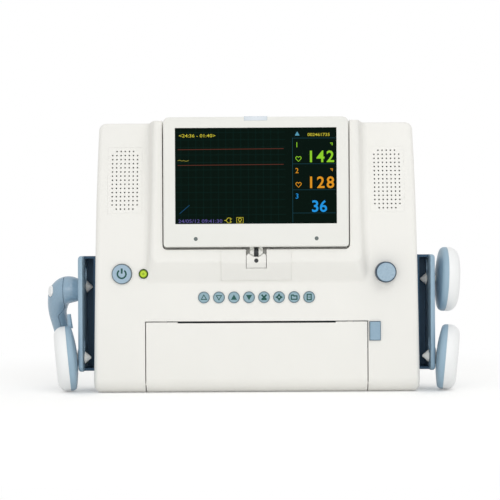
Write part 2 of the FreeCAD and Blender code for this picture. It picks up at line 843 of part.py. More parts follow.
for side in (-1, 1):
    way = "+X" if side > 0 else "-X"
    capCuts.append(cone(f"cone_room_{side + 1}", way, "barrel_r + 2 * fit_gap", "barrel_tip_r + 2 * fit_gap",
                        f"{roomHalf} - slot_half", (f"{side} * slot_half",) + hingeAt))
    edge = f"{side} * notch_half"
    shoulder = [(edge, "cap_top_z - shoulder_h"), (edge, "cap_top_z + shoulder_h"),
                (f"{side} * (notch_half - 2 * shoulder_w)", "cap_top_z + shoulder_h")]
    capCuts.append(pad(f"cap_shoulder_{side + 1}", "front", shoulder, "2 * front_reach", ahead))
screwAt = ("0", "-front_reach - dais_rise - cover_proud", "cap_screw_z")
capBore = rod("cap_bore", "+Y", "cap_screw_r", "wall", screwAt)
capCuts.append(capBore)
node("hinge_cap", cut("hinge_cap_solid", capSlice, capCuts))
node("hinge_cap_screw", rod("cap_screw", "+Y", "cap_screw_r", "wall", screwAt))
knuckle = rod("knuckle", "+X", "barrel_r", "2 * bracket_half", ("-bracket_half",) + hingeAt)
leaf = box("leaf", mirrored("bracket_half"), ("-hinge_y", "-notch_floor"),
           ("hinge_z - leaf_t / 2", "hinge_z + leaf_t / 2"))
bracketFoot = box("bracket_foot", mirrored("bracket_foot_half"),
                  ("-notch_floor - bracket_foot_t", "-notch_floor"),
                  ("hinge_z - bracket_foot_h / 2", "hinge_z + bracket_foot_h / 2"))
bracketBore = rod("bracket_bore", "+X", "pin_r + fit_gap", "4 * bracket_half",
                  ("-2 * bracket_half",) + hingeAt)
node("hinge_bracket",
     cut("hinge_bracket_solid", fuse("bracket_joined", [knuckle, leaf, bracketFoot]), [bracketBore]))
node("hinge_pin", rod("hinge_pin_rod", "+X", "pin_r", "2 * barrel_half", ("-barrel_half",) + hingeAt))

# Display: bezel, back shell with two knuckles, glass panel, caps and alarm lamp.
displayTop = "casing_h + display_over"
bezelBack = "bezel_t - display_front"


def frame(inset):
    half = f"display_w / 2 - {inset}"
    low = f"display_z + {inset}"
    top = f"{displayTop} - {inset}"
    return [(f"-({half})", low), (half, low), (half, top), (f"-({half})", top)]


displayMiddle = (size("display_z") + size("casing_h")) / 2


def cornered(body):
    soften(body, "display_r", lambda edge: along("y")(edge) and middle(edge).z > displayMiddle)
    soften(body, "display_low_r", lambda edge: along("y")(edge) and middle(edge).z < displayMiddle)


bezelPlate = pad("bezel_plate", "front", frame("0"), "bezel_t", "-display_front")
cornered(bezelPlate)
bezelFront = -size("display_front")
soften(bezelPlate, "bezel_edge_r", lambda edge: near(edge.BoundBox.YMax, bezelFront))
screenTop = f"{displayTop} - screen_drop"
window = box("screen_window", mirrored("screen_w / 2"), ("-2 * display_front", "0"),
             ("screen_z", screenTop))
panelHalf = "screen_w / 2 + panel_margin"
rebate = box("panel_rebate", mirrored(f"{panelHalf} + panel_gap"), ("panel_recess - display_front", "0"),
             ("screen_z - panel_margin - panel_gap", f"{screenTop} + panel_margin + panel_gap"))
lampSpan = mirrored("lamp_w / 2")
lampSpanY = ("-display_front - lamp_proud", "lamp_t - display_front")
lampSpanZ = (f"{displayTop} - lamp_drop", f"{displayTop} + lamp_proud")
bezelCuts = [window, rebate, box("lamp_seat", lampSpan, lampSpanY, lampSpanZ)]
dots = []
for side in (-1, 1):
    spot = (f"{side} * dot_x", "-display_front", "dot_z")
    bezelCuts.append(rod(f"dot_seat_{side + 1}", "+Y", "dot_r", "dot_depth", spot))
    dots.append(rod(f"dot_{side + 1}", "+Y", "dot_r", "dot_depth", spot))
node("display_bezel", cut("display_bezel_solid", bezelPlate, bezelCuts))
node("bezel_caps", compound("bezel_caps_pair", dots))
lampBlock = box("lamp_block", lampSpan, lampSpanY, lampSpanZ)
lampFront = -size("display_front") - size("lamp_proud")
node("alarm_lamp", rounded("alarm_lamp_lens", lampBlock, size("lamp_proud"),
                           lambda edge: near(edge.BoundBox.YMax, lampFront)))
node("lcd_panel", box("lcd_panel_block", mirrored(panelHalf),
                      ("panel_recess - display_front", "panel_recess + panel_t - display_front"),
                      ("screen_z - panel_margin", f"{screenTop} + panel_margin")))
backPlate = pad("back_plate", "front", frame("shell_inset"), "display_front - bezel_t - display_back_y",
                bezelBack)
cornered(backPlate)
shellBack = -size("display_back_y")
soften(backPlate, "shell_edge_r", lambda edge: near(edge.BoundBox.YMin, shellBack))
shellRoom = box("shell_room", mirrored("display_w / 2 - shell_rim"),
                ("-2 * hinge_y", "-display_back_y - shell_wall"),
                ("display_z + shell_rim", f"{displayTop} - shell_rim"))
shellOpen = cut("shell_open", backPlate, [shellRoom])
knuckles = [shellOpen]
for side in (-1, 1):
    way = "+X" if side > 0 else "-X"
    knuckles.append(cone(f"barrel_{side + 1}", way, "barrel_r", "barrel_tip_r", "barrel_half - slot_half",
                         (f"{side} * slot_half",) + hingeAt))
    knuckles.append(box(f"barrel_neck_{side + 1}", sided(side, "slot_half", "barrel_half"),
                        ("-hinge_y", "barrel_r - hinge_y"), ("hinge_z", "display_z + 2 * shell_inset")))
pinBore = rod("pin_bore", "+X", "pin_r", "4 * barrel_half", ("-2 * barrel_half",) + hingeAt)
node("display_back", cut("display_back_solid", fuse("back_joined", knuckles), [pinBore]))

# Keys, power button, lamp lens, jog dial and latch button.
flangeFront = f"{inside} + flange_seat"


def button(label, radius, standing, across, height):
    cap = rod(label + "_cap", "+Y", radius, f"{standing} + wall + flange_seat",
              (across, f"-front_reach - {standing}", height))
    flange = rod(label + "_flange", "+Y", f"{radius} + flange_step", "flange_t",
                 (across, flangeFront, height))
    stem = rod(label + "_stem", "+Y", "stem_r", "stem_l", (across, f"{flangeFront} + flange_t", height))
    return node(label, fuse(label + "_solid", [cap, flange, stem]))


for number, across in enumerate(keyPlaces):
    button(f"key_{number + 1}", "key_r", "key_proud", across, "key_z")
button("power_button", "power_r", "power_proud", "-power_x", "power_z")
boards = [box("key_board", mirrored(keyBoardHalf), ("-key_board_y", "board_t - key_board_y"),
              ("key_z - key_board_h / 2", "key_z + key_board_h / 2"))]
switchY = ("-key_board_y - switch_t", "-key_board_y")
for number, across in enumerate(keyPlaces):
    boards.append(box(f"switch_{number}", (f"{across} - switch_a / 2", f"{across} + switch_a / 2"),
                      switchY, ("key_z - switch_a / 2", "key_z + switch_a / 2")))
sideBoard = box("side_board", (f"-({sideMiddle} + side_board_w / 2)", f"side_board_w / 2 - {sideMiddle}"),
                ("-key_board_y", "board_t - key_board_y"),
                ("power_z - side_board_h / 2", "power_z + side_board_h / 2"))
sideSwitch = box("side_switch", ("-power_x - switch_a / 2", "switch_a / 2 - power_x"),
                 switchY, ("power_z - switch_a / 2", "power_z + switch_a / 2"))
node("keypad_boards", compound("keypad_boards_pair", [fuse("key_board_solid", boards),
                                                      fuse("side_board_solid", [sideBoard, sideSwitch])]))
lensBlock = rod("led_block", "+Y", "led_r", "led_proud + wall",
                ("-led_x", "-front_reach - led_proud", "power_z"))
lensFace = -size("front_reach") - size("led_proud")
lens = rounded("led_lens", lensBlock, size("led_edge_r"), lambda edge: near(edge.BoundBox.YMax, lensFace))
lensFlange = rod("led_flange", "+Y", "led_r + flange_step", "front_reach - wall - key_board_y",
                 ("-led_x", inside, "power_z"))
node("power_lamp", fuse("power_lamp_solid", [lens, lensFlange]))
encoderBlock = box("encoder_block", ("jog_x - encoder_a / 2", "jog_x + encoder_a / 2"),
                   (inside, f"{inside} + encoder_t"), ("jog_z - encoder_a / 2", "jog_z + encoder_a / 2"))
encoderBore = rod("encoder_bore", "+Y", "jog_shaft_r + fit_gap", "encoder_t - encoder_floor",
                  ("jog_x", inside, "jog_z"))
node("jog_encoder", cut("jog_encoder_solid", encoderBlock, [encoderBore]))
knobBack = "-front_reach - jog_lift"
knobFront = f"{knobBack} - jog_h"
shaftFront = f"{knobFront} + jog_cap"
node("jog_shaft", rod("jog_shaft_rod", "+Y", "jog_shaft_r",
                      f"({inside} + encoder_t - encoder_floor - jog_lift - fit_gap) - ({shaftFront})",
                      ("jog_x", shaftFront, "jog_z")))
knobBlock = rod("knob_block", "+Y", "jog_r", "jog_h", ("jog_x", knobFront, "jog_z"))
knobFace = -size("front_reach") - size("jog_lift") - size("jog_h")
knobRound = rounded("knob_round", knobBlock, size("jog_edge_r"),
                    lambda edge: near(edge.BoundBox.YMax, knobFace))
knobBore = rod("knob_bore", "+Y", "jog_shaft_r + fit_gap", "jog_h - jog_cap + fit_gap",
               ("jog_x", f"{shaftFront} - fit_gap", "jog_z"))
node("jog_knob", cut("jog_knob_solid", knobRound, [knobBore]))
latchWide, latchTall = latchSpan("0")
latchCap = box("latch_cap", latchWide, ("-front_reach - latch_proud", flangeFront), latchTall)
latchFace = -size("front_reach") - size("latch_proud")
latchRound = rounded("latch_round", latchCap, size("latch_edge_r"),
                     lambda edge: near(edge.BoundBox.YMax, latchFace))
flangeWide, flangeTall = latchSpan("flange_step")
latchFlange = box("latch_flange", flangeWide, (flangeFront, f"{flangeFront} + flange_t"), flangeTall)
node("latch_button", fuse("latch_button_solid", [latchRound, latchFlange]))

# Printer: drop-front door, chassis, paper roll, platen with its gear, print head and motor.
doorBox = box("door_box", mirrored("door_w / 2"), (ahead, "toe_r - front_reach"), ("-wall", "door_top"))
doorSlot = box("door_slot", mirrored("slot_w / 2"), (ahead, "0"), ("door_top - slot_h", "2 * door_top"))
doorSkin = cut("door_skin", common("door_slice", frontShell, doorBox), [doorSlot])
doorAt = ("-door_axis_y", "door_axis_z")
doorParts = [doorSkin]
for side in (-1, 1):
    start = "door_w / 2 - ear_w" if side > 0 else "-door_w / 2 - door_pin_l"
    doorParts.append(rod(f"door_pin_{side + 1}", "+X", "door_pin_r", "ear_w + door_pin_l",
                         (start,) + doorAt))
    start = "door_w / 2 - ear_w" if side > 0 else "-door_w / 2"
    doorParts.append(rod(f"door_ear_{side + 1}", "+X", "ear_r", "ear_w", (start,) + doorAt))
node("printer_door", fuse("printer_door_solid", doorParts))
platenAt = ("-platen_y", "platen_z")
chassis = [box("chassis_floor", mirrored("chassis_x + plate_t"), ("-chassis_front", "chassis_back"),
               ("wall", "wall + plate_t")),
           box("chassis_rear", mirrored("chassis_x + plate_t"), ("chassis_back - plate_t", "chassis_back"),
               ("wall", "chassis_h")),
           box("chassis_bar", mirrored("chassis_x + plate_t"), ("-crossbar_y", "plate_t - crossbar_y"),
               ("crossbar_z", "chassis_h"))]
for side in (-1, 1):
    cheek = sided(side, "chassis_x", "chassis_x + plate_t")
    chassis.append(box(f"cheek_{side + 1}", cheek, ("-chassis_front", "chassis_back"),
                       ("wall", "chassis_h")))
    chassis.append(box(f"arm_{side + 1}", cheek, ("-arm_front", "-chassis_front"), ("arm_z", "chassis_h")))
centres = "(gear_teeth + pinion_teeth) * tooth_module / 2"
pinionAt = (f"{centres} * cos(mesh_angle) - platen_y", f"platen_z - {centres} * sin(mesh_angle)")
motorFace = "gear_x + gear_w + motor_gap"
plateSpanZ = (f"{pinionAt[1]} - motor_plate_a / 2", f"{pinionAt[1]} + motor_plate_a / 2")
plateEnd = f"{pinionAt[0]} + motor_plate_a / 2"
chassis.append(box("motor_plate", (motorFace, f"{motorFace} + motor_plate_t"),
                   (f"{pinionAt[0]} - motor_plate_a / 2", plateEnd), plateSpanZ))
chassis.append(box("motor_spacer", ("chassis_x + plate_t", motorFace),
                   (f"{pinionAt[0]} + motor_plate_a / 3", plateEnd), plateSpanZ))
shaftRoom = rod("shaft_room", "+X", "shaft_r + fit_gap", "4 * chassis_x", ("-2 * chassis_x",) + platenAt)
motorRoom = rod("motor_room", "+X", "motor_shaft_r + fit_gap", "motor_plate_t + 2 * motor_gap",
                (f"{motorFace} - motor_gap",) + pinionAt)
node("printer_chassis",
     cut("printer_chassis_solid", fuse("chassis_joined", chassis), [shaftRoom, motorRoom]))
node("print_head", box("print_head_bar", mirrored("head_w / 2"),
                       ("platen_r + fit_gap - platen_y", "platen_r + fit_gap + head_t - platen_y"),
                       ("head_z", "head_z + head_h")))
sleeve = rod("platen_sleeve", "+X", "platen_r", "platen_w", ("-platen_w / 2",) + platenAt)
sleeveBore = rod("platen_bore", "+X", "shaft_r", "2 * platen_w", ("-platen_w",) + platenAt)
node("platen_roller", cut("platen_roller_solid", sleeve, [sleeveBore]))
node("platen_shaft",
     rod("platen_shaft_rod", "+X", "shaft_r", "shaft_left + shaft_right", ("-shaft_left",) + platenAt))
rollAt = ("roll_y", "wall + plate_t + roll_gap + roll_r")
rollBody = rod("roll_body", "+X", "roll_r", "roll_w", ("-roll_w / 2",) + rollAt)
rollCore = rod("roll_core", "+X", "roll_core_r", "2 * roll_w", ("-roll_w",) + rollAt)
node("paper_roll", cut("paper_roll_solid", rollBody, [rollCore]))
node("stepper_motor",
     rod("motor_can", "+X", "motor_r", "motor_l", (f"{motorFace} + motor_plate_t",) + pinionAt))


# Spur gear outline: involute flanks thinned by half the backlash on each side.
flankSteps = int(size("flank_steps"))


def spur(name, teeth, turn):
    module = size("tooth_module")
    pitch = teeth * module / 2
    slope = math.radians(size("pressure_angle"))
    flat = pitch * math.cos(slope)
    crown = pitch + module
    root = pitch - size("root_share") * module
    half = math.pi / 2 / teeth - size("gear_backlash") / 2 / pitch
    lean = math.tan(slope) - slope
    points = []
    for tooth in range(teeth):
        centre = 2 * math.pi * tooth / teeth + turn
        flank = []
        for step in range(flankSteps + 1):
            radius = max(flat, root) + (crown - max(flat, root)) * step / flankSteps
            pressure = math.acos(min(1, flat / radius))
            flank.append((radius, half + lean - math.tan(pressure) + pressure))
        flank.insert(0, (root, flank[0][1]))
        points += [(radius, centre - angle) for radius, angle in flank]
        points += [(radius, centre + angle) for radius, angle in reversed(flank)]
    ring = [Vector(0, radius * math.cos(angle), radius * math.sin(angle)) for radius, angle in points]
    item = document.addObject("Part::Feature", name)
    face = Part.Face(Part.makePolygon(ring + ring[:1]))
    item.Shape = face.extrude(Vector(size("gear_w"), 0, 0))
    return item


meshWay = -math.radians(size("mesh_angle"))
gearTeeth = int(size("gear_teeth"))
pinionTeeth = int(size("pinion_teeth"))
gearBlank = spur("gear_blank", gearTeeth, meshWay)
place(gearBlank, ("gear_x",) + platenAt)
gearBore = rod("gear_bore", "+X", "shaft_r", "4 * gear_w", ("gear_x - gear_w",) + platenAt)
node("platen_gear", cut("platen_gear_solid", gearBlank, [gearBore]))
pinionBlank = spur("pinion_blank", pinionTeeth, meshWay + math.pi + math.pi / pinionTeeth)
place(pinionBlank, ("gear_x",) + pinionAt)
pinionShaft = rod("pinion_shaft", "+X", "motor_shaft_r", "gear_w + motor_gap + motor_plate_t - fit_gap",
                  ("gear_x",) + pinionAt)
node("motor_pinion", fuse("motor_pinion_solid", [pinionBlank, pinionShaft]))

# Holders on both sides: channel rail, slotted plate, hung probes and event marker.
slab = pad("casing_slab", "front", outline("0", "0"), "front_reach + back_reach", "-front_reach")
holderY = ("-holder_front", "holder_back")
holderZ = ("holder_z", "holder_top")
sideNames = {-1: "left", 1: "right"}
hangers = {-1: (("-low_y", "low_z"), ("high_y", "marker_z")),
           1: (("-low_y", "low_z"), ("high_y", "high_z"))}
for side, sideName in sideNames.items():
    block = box(f"rail_block_{sideName}", sided(side, "rail_inner", "plate_in"), holderY, holderZ)
    channel = box(f"rail_channel_{sideName}", sided(side, "channel_x", "2 * plate_in"),
                  ("-2 * holder_front", "holder_back - web_t"), ("holder_z + end_t", "holder_top - end_t"))
    flangeRoom = box(f"rail_flange_room_{sideName}", sided(side, "rail_inner", "2 * plate_in"),
                     ("-2 * holder_front", "-flange_front"), ("0", "2 * holder_top"))
    node(f"holder_rail_{sideName}", cut(f"holder_rail_{sideName}_solid", block, [slab, channel, flangeRoom]))
    plateBlock = box(f"plate_block_{sideName}", sided(side, "plate_in", "plate_out"), holderY, holderZ)
    plateCornered = rounded(f"plate_cornered_{sideName}", plateBlock, size("plate_corner_r"), along("x"))
    outerX = side * size("plate_out")
    plateRound = rounded(f"plate_round_{sideName}", plateCornered, size("plate_edge_r"),
                         lambda edge: near(edge.BoundBox.XMin, outerX) and near(edge.BoundBox.XMax, outerX))
    keyholes = []
    for number, (along_y, height) in enumerate(hangers[side]):
        tag = f"{sideName}_{number}"
        keyholes.append(box("slot_" + tag, sided(side, "plate_in - wall", "plate_out + wall"),
                            (f"{along_y} - neck_r - neck_gap", f"{along_y} + neck_r + neck_gap"),
                            (height, f"{height} + lift")))
        start = "plate_in - wall" if side > 0 else "-plate_out - wall"
        through = "plate_out - plate_in + 2 * wall"
        keyholes.append(rod("slot_end_" + tag, "+X", "neck_r + neck_gap", through,
                            (start, along_y, height)))
        keyholes.append(rod("slot_entry_" + tag, "+X", "entry_r", through,
                            (start, along_y, f"{height} + lift")))
    node(f"holder_plate_{sideName}", cut(f"holder_plate_{sideName}_solid", plateRound, keyholes))


# Hung pieces are built about the point where their neck leaves the plate, then set in place.
def hang(item, start, spot, axis, angle):
    place(item, (start, spot[0], spot[1]), axis, angle)
    return item


collarEnd = "(plate_out + collar_gap + collar_t)"


def hook(label, side, spot, end):
    way = "+X" if side > 0 else "-X"
    back = "+X" if side < 0 else "-X"
    neck = rod(label + "_neck", way, "neck_r", f"{end} - plate_in + head_gap",
               (f"{side} * (plate_in - head_gap)",) + spot)
    head = cone(label + "_head", back, "head_base_r", "head_tip_r", "head_l",
                (f"{side} * (plate_in - head_gap)",) + spot)
    collar = rod(label + "_collar", way, "collar_r", "collar_t",
                 (f"{side} * (plate_out + collar_gap)",) + spot)
    return node(label, fuse(label + "_solid", [neck, head, collar]))


def probe(label, side, spot, gap, axis, angle, spoutLean):
    way = "+X" if side > 0 else "-X"
    outer = side * (size("probe_base_t") + size("probe_cover_t"))
    inner = f"(plate_out + {gap})"
    start = f"{side} * {inner}"
    tilt = f"{side} * ({angle})"
    neck = hook(label + "_button", side, spot, f"({inner} + stud_l)")
    disc = rod(label + "_disc", way, "probe_r", "probe_base_t", ("0", "0", "0"))
    dome = document.addObject("Part::Sphere", label + "_dome")
    bind(dome, Radius="probe_dome_r")
    place(dome, (f"{side} * probe_dome_r", "0", "0"), (0, 0, 1), "0" if side > 0 else "180")
    bowl = common(label + "_bowl", disc, dome)
    rim = side * (size("probe_dome_r") - math.sqrt(size("probe_dome_r") ** 2 - size("probe_r") ** 2))
    bowlRound = rounded(label + "_bowl_round", bowl, size("probe_back_r"),
                        lambda edge: near(middle(edge).x, rim))
    spout = document.addObject("Part::Cone", label + "_spout")
    bind(spout, Radius1="spout_r", Radius2="spout_tip_r", Height="spout_l")
    root = "(probe_r - spout_r)"
    place(spout,
          (f"{side} * spout_in", f"{root} * sin({spoutLean})", f"{root} * cos({spoutLean})"),
          (1, 0, 0), f"-({spoutLean})")
    bowlWhole = hang(fuse(label + "_bowl_whole", [bowlRound, spout]), start, spot, axis, tilt)
    node(label + "_base", cut(label + "_base_solid", bowlWhole, [neck]))
    lid = rod(label + "_lid", way, "probe_r", "probe_cover_t", (f"{side} * probe_base_t", "0", "0"))
    lidRound = rounded(label + "_cover_solid", lid, size("probe_edge_r"),
                       lambda edge: near(middle(edge).x, outer))
    node(label + "_cover", hang(lidRound, start, spot, axis, tilt))


upright = (0, 1, 0)
lowTilt = (0, size("low_lean"), -size("low_yaw"))
lowTurn = "sqrt(low_lean^2 + low_yaw^2)"
probe("probe_right_top", 1, hangers[1][1], "probe_top_gap", upright, "top_lean", "90")
probe("probe_right_low", 1, hangers[1][0], "probe_low_gap", lowTilt, lowTurn, "90")
probe("probe_left_low", -1, hangers[-1][0], "probe_low_gap", lowTilt, lowTurn, "spout_lean")
markerSpot = hangers[-1][1]
tipped = (1, 0, 0)
hook("marker_button", -1, markerSpot, collarEnd)


# Event marker: round sections along a line that leaves the plate, bends down and tapers to the tail.
# Each section has its distance out, its drop, its radius and the turn of the line there.
def between(first, last, share):
    return f"({first} + {share} * ({last} - {first}))"


def bendOut(share):
    return between("marker_head_out", "marker_neck_out", share)


def bendDrop(share):
    return between("marker_head_drop", "marker_neck_drop", share)


def neckSpot(share):
    return (between("marker_neck_out", "marker_tail_out", share),
            between("marker_neck_drop", "marker_tail_drop", share))


tailWay = "90 + atan((marker_neck_out - marker_tail_out) / (marker_tail_drop - marker_neck_drop)) / 1 deg"
sections = [
    (f"{collarEnd} - plate_out", "marker_head_drop", "0.8 * marker_head_r", "0"),
    ("marker_head_out / 2", "marker_head_drop", "0.94 * marker_head_r", "0"),
    ("marker_head_out", bendDrop(0.03), "marker_head_r", "15"),
    (bendOut(0.56), bendDrop(0.2), "0.91 * marker_head_r", "48"),
    (bendOut(0.86), bendDrop(0.55), between("marker_neck_r", "marker_head_r", 0.36), "80"),
    neckSpot(0) + ("marker_neck_r", "92"),
    neckSpot(0.33) + (between("marker_neck_r", "marker_tail_r", 0.33), tailWay),
    neckSpot(0.67) + (between("marker_neck_r", "marker_tail_r", 0.67), tailWay),
    neckSpot(1) + ("marker_tail_r", tailWay),
    neckSpot(1.1) + ("0.86 * marker_tail_r", tailWay),
    neckSpot(1.16) + ("0.5 * marker_tail_r", tailWay),
]


def markerLoft(name, inset):
    rings = []
    for number, (out, low, radius, way) in enumerate(sections):
        ringItem = document.addObject("Part::Circle", f"{name}_ring_{number}")
        bind(ringItem, Radius=f"{radius} - {inset}")
        place(ringItem, (f"-({out})", "0", f"-({low})"), upright, f"90 - ({way})")
        rings.append(ringItem)
    item = document.addObject("Part::Loft", name)
    item.Sections = rings
    item.Solid = True
    return item


def partingPad(name, step):
    points = [("-2 * probe_r", "probe_r"), (f"{step} - marker_part_out", "probe_r"),
              (f"{step} - marker_part_out", "-marker_part_drop"),
              (f"{step} - marker_jog_out", "-marker_jog_drop"),
              (f"{step} - marker_end_out", "-marker_end_drop"), ("-2 * probe_r", "-marker_end_drop")]
    return pad(name, "front", points, "2 * probe_r", "-probe_r")


markerForm = markerLoft("marker_form", "0")
markerCore = markerLoft("marker_core", "groove_depth")
parting = partingPad("marker_parting", "0")
groove = cut("marker_groove", partingPad("marker_groove_pad", "groove_w"), [markerCore])
thumbTurn = math.radians(size("thumb_turn"))
thumbRise = math.radians(size("thumb_rise"))
thumbLevel = Vector(-math.cos(thumbTurn), -math.sin(thumbTurn), 0)
thumbWay = thumbLevel * math.cos(thumbRise) + Vector(0, 0, math.sin(thumbRise))


def thumbRod(name, radius, start, stop):
    item = document.addObject("Part::Cylinder", name)
    bind(item, Radius=radius, Height=f"({stop}) - ({start})")
    level = f"({start}) * cos(thumb_rise)"
    place(item, (f"-thumb_out - {level} * cos(thumb_turn)", f"-{level} * sin(thumb_turn)",
                 f"({start}) * sin(thumb_rise) - thumb_drop"),
          (-thumbLevel.y, thumbLevel.x, 0), "90 - thumb_rise")
    return item


thumbRoom = thumbRod("thumb_room", "thumb_r + thumb_gap", "thumb_reach - 2 * thumb_t", "2 * thumb_reach")
shellOuter = cut("marker_outer", common("marker_outside", markerForm, parting), [thumbRoom])
node("marker_outer_shell", hang(shellOuter, "-plate_out", markerSpot, tipped, "marker_lean"))
shellWhole = cut("marker_inner_whole", markerForm, [parting, thumbRoom])
shellInner = cut("marker_inner", shellWhole, [groove])
node("marker_inner_shell", hang(shellInner, "-plate_out", markerSpot, tipped, "marker_lean"))
thumb = thumbRod("thumb_rod", "thumb_r", "thumb_reach - thumb_t", "thumb_reach")
thumbFace = size("thumb_reach") + Vector(-size("thumb_out"), 0, -size("thumb_drop")).dot(thumbWay)
thumbRound = rounded("marker_thumb_solid", thumb, size("thumb_edge_r"),
                     lambda edge: near(middle(edge).dot(thumbWay), thumbFace))
node("marker_thumb", hang(thumbRound, "-plate_out", markerSpot, tipped, "marker_lean"))

document.recompute()
os.makedirs("parts", exist_ok=True)
for item in document.Objects:
    if "Invalid" in item.State or "Error" in item.State:
        raise SystemExit(f"{item.Label} did not compute")
for item in nodes:
    shape = item.Shape
    if shape.isNull() or not shape.isValid() or not shape.Solids:
        raise SystemExit(f"{item.Label} has no sound solid")
    shape.exportStep(f"parts/{item.Label}.step")
    print(item.Label, len(shape.Solids), "solids", round(shape.Volume / 1000, 2), "cm3")
print(len(nodes), "nodes")
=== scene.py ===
import math
import bmesh
import bpy
from mathutils import Matrix, Vector


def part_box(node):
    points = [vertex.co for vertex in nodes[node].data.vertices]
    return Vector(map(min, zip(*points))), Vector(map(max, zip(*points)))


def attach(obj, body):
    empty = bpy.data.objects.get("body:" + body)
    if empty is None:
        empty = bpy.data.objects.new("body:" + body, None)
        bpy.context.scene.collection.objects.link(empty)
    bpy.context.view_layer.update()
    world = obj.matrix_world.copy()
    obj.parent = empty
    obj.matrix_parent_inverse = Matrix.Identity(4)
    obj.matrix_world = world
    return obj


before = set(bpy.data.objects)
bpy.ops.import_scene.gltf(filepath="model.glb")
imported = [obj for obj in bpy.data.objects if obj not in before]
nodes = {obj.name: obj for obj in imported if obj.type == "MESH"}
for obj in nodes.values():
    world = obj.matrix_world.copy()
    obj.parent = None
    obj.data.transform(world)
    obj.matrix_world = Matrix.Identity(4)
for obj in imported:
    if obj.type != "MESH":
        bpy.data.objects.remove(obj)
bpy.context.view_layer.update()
scene = bpy.context.scene
mm = 0.001
white = (1, 1, 1, 1)
black = (0, 0, 0, 1)
print("frame loaded:", len(nodes), "nodes")


def linear(code):  # sRGB hex to linear colour
    parts = [int(code[n:n + 2], 16) / 255 for n in (1, 3, 5)]
    return [c / 12.92 if c <= 0.04045 else ((c + 0.055) / 1.055) ** 2.4 for c in parts] + [1]


def add(tree, kind, settings=None, links=None):  # one node with its settings and links
    node = tree.nodes.new("ShaderNode" + kind)
    for name, value in (settings or {}).items():
        if isinstance(name, str) and hasattr(node, name):
            setattr(node, name, value)
        else:
            node.inputs[name].default_value = value
    for name, source in (links or {}).items():
        tree.links.new(source, node.inputs[name])
    return node


def blank(name):  # new material with its tree, shader and object coordinates
    material = bpy.data.materials.new(name)
    material.use_nodes = True
    tree = material.node_tree
    return material, tree, tree.nodes["Principled BSDF"], add(tree, "TexCoord").outputs["Object"]


def seenRay(tree):  # 1 for what the camera, a mirror or glass sees, 0 for light that falls on the object
    path = add(tree, "LightPath").outputs
    seen = add(tree, "Math", {"operation": "MAXIMUM"}, {0: path["Is Camera Ray"], 1: path["Is Glossy Ray"]})
    seen = add(tree, "Math", {"operation": "MAXIMUM"}, {0: seen.outputs[0], 1: path["Is Transmission Ray"]})
    return seen.outputs[0]


def front(name):  # middle of a node's front face at rest, in mm
    low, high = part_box(name)
    return (low[0] + high[0]) / 2 / mm, low[1] / mm, (low[2] + high[2]) / 2 / mm


# Camera: level, 1.3 m in front of the display, as the photo's perspective says
cameraLook = {
    "at": (0, -1.355, 0.131),
    "roll": 0.3,  # degrees, right side a little higher
    "lens": 98.94,
    "sensor": 36,
    "shift": (-0.0126, 0.0124),  # six pixels each way, for the photo's framing
}
lensData = bpy.data.cameras.new("camera")
lensData.lens = cameraLook["lens"]
lensData.sensor_width = cameraLook["sensor"]
lensData.shift_x, lensData.shift_y = cameraLook["shift"]
camera = bpy.data.objects.new("camera", lensData)
camera.location = cameraLook["at"]
camera.rotation_euler = (math.pi / 2, math.radians(cameraLook["roll"]), 0)
scene.collection.objects.link(camera)
scene.camera = camera
scene.view_settings.view_transform = "Standard"

# Studio: white surround, soft lamps to the right, in front and above, a low white card, pale floor
studio = {
    "ambient": 0.72,
    "lamps": {
        "keyLamp": {"at": (0.6, -1.4, 1.3), "size": 0.9, "watts": 4.2},
        "fillLamp": {"at": (-0.2, -1.9, 0.3), "size": 1.0, "watts": 4.5},
        "topLamp": {"at": (0.0, -0.1, 1.5), "size": 1.0, "watts": 1.5},
        "cardLamp": {"at": (0.0, -0.6, 0.03), "size": 0.5, "watts": 0.45},
    },
    "aim": (0, 0, 0.13),
    "floor": "#F4F4F3",
    "floorRough": 0.9,
    "floorLift": 0.22,  # seen light that takes the floor up to white
    "floorFade": (0.25, 0.6),  # from here outward the paper looks plain white
    "floorReach": 12,  # from the middle to each side
}
world = bpy.data.worlds.new("studio")
scene.world = world
world.use_nodes = True
glow = add(world.node_tree, "MapRange", {"To Min": studio["ambient"], "To Max": 1.0},
           {"Value": seenRay(world.node_tree)})
surround = world.node_tree.nodes["Background"]
surround.inputs["Color"].default_value = white
world.node_tree.links.new(glow.outputs[0], surround.inputs["Strength"])
for name, lamp in studio["lamps"].items():
    light = bpy.data.lights.new(name, "AREA")
    light.size = lamp["size"]
    light.energy = lamp["watts"]
    holder = bpy.data.objects.new(name, light)
    holder.location = lamp["at"]
    ahead = Vector(studio["aim"]) - Vector(lamp["at"])
    holder.rotation_euler = ahead.to_track_quat("-Z", "Y").to_euler()
    holder.visible_camera = False
    scene.collection.objects.link(holder)
floorShape = bmesh.new()
bmesh.ops.create_grid(floorShape, x_segments=1, y_segments=1, size=studio["floorReach"])
floorMesh = bpy.data.meshes.new("floor")
floorShape.to_mesh(floorMesh)
floorShape.free()
floor = bpy.data.objects.new("floor", floorMesh)
scene.collection.objects.link(floor)
floorPaper, tree, shader, where = blank("studioPaper")  # seamless paper roll, matte
shader.inputs["Base Color"].default_value = linear(studio["floor"])
shader.inputs["Roughness"].default_value = studio["floorRough"]
shader.inputs["Specular IOR Level"].default_value = 0.0
seen = seenRay(tree)
amount = add(tree, "Math", {"operation": "MULTIPLY", 1: studio["floorLift"]}, {0: seen})
lift = add(tree, "Emission", {"Color": white}, {"Strength": amount.outputs[0]})
lifted = add(tree, "AddShader", None, {0: shader.outputs[0], 1: lift.outputs[0]})
away = add(tree, "VectorMath", {"operation": "LENGTH"}, {0: where})
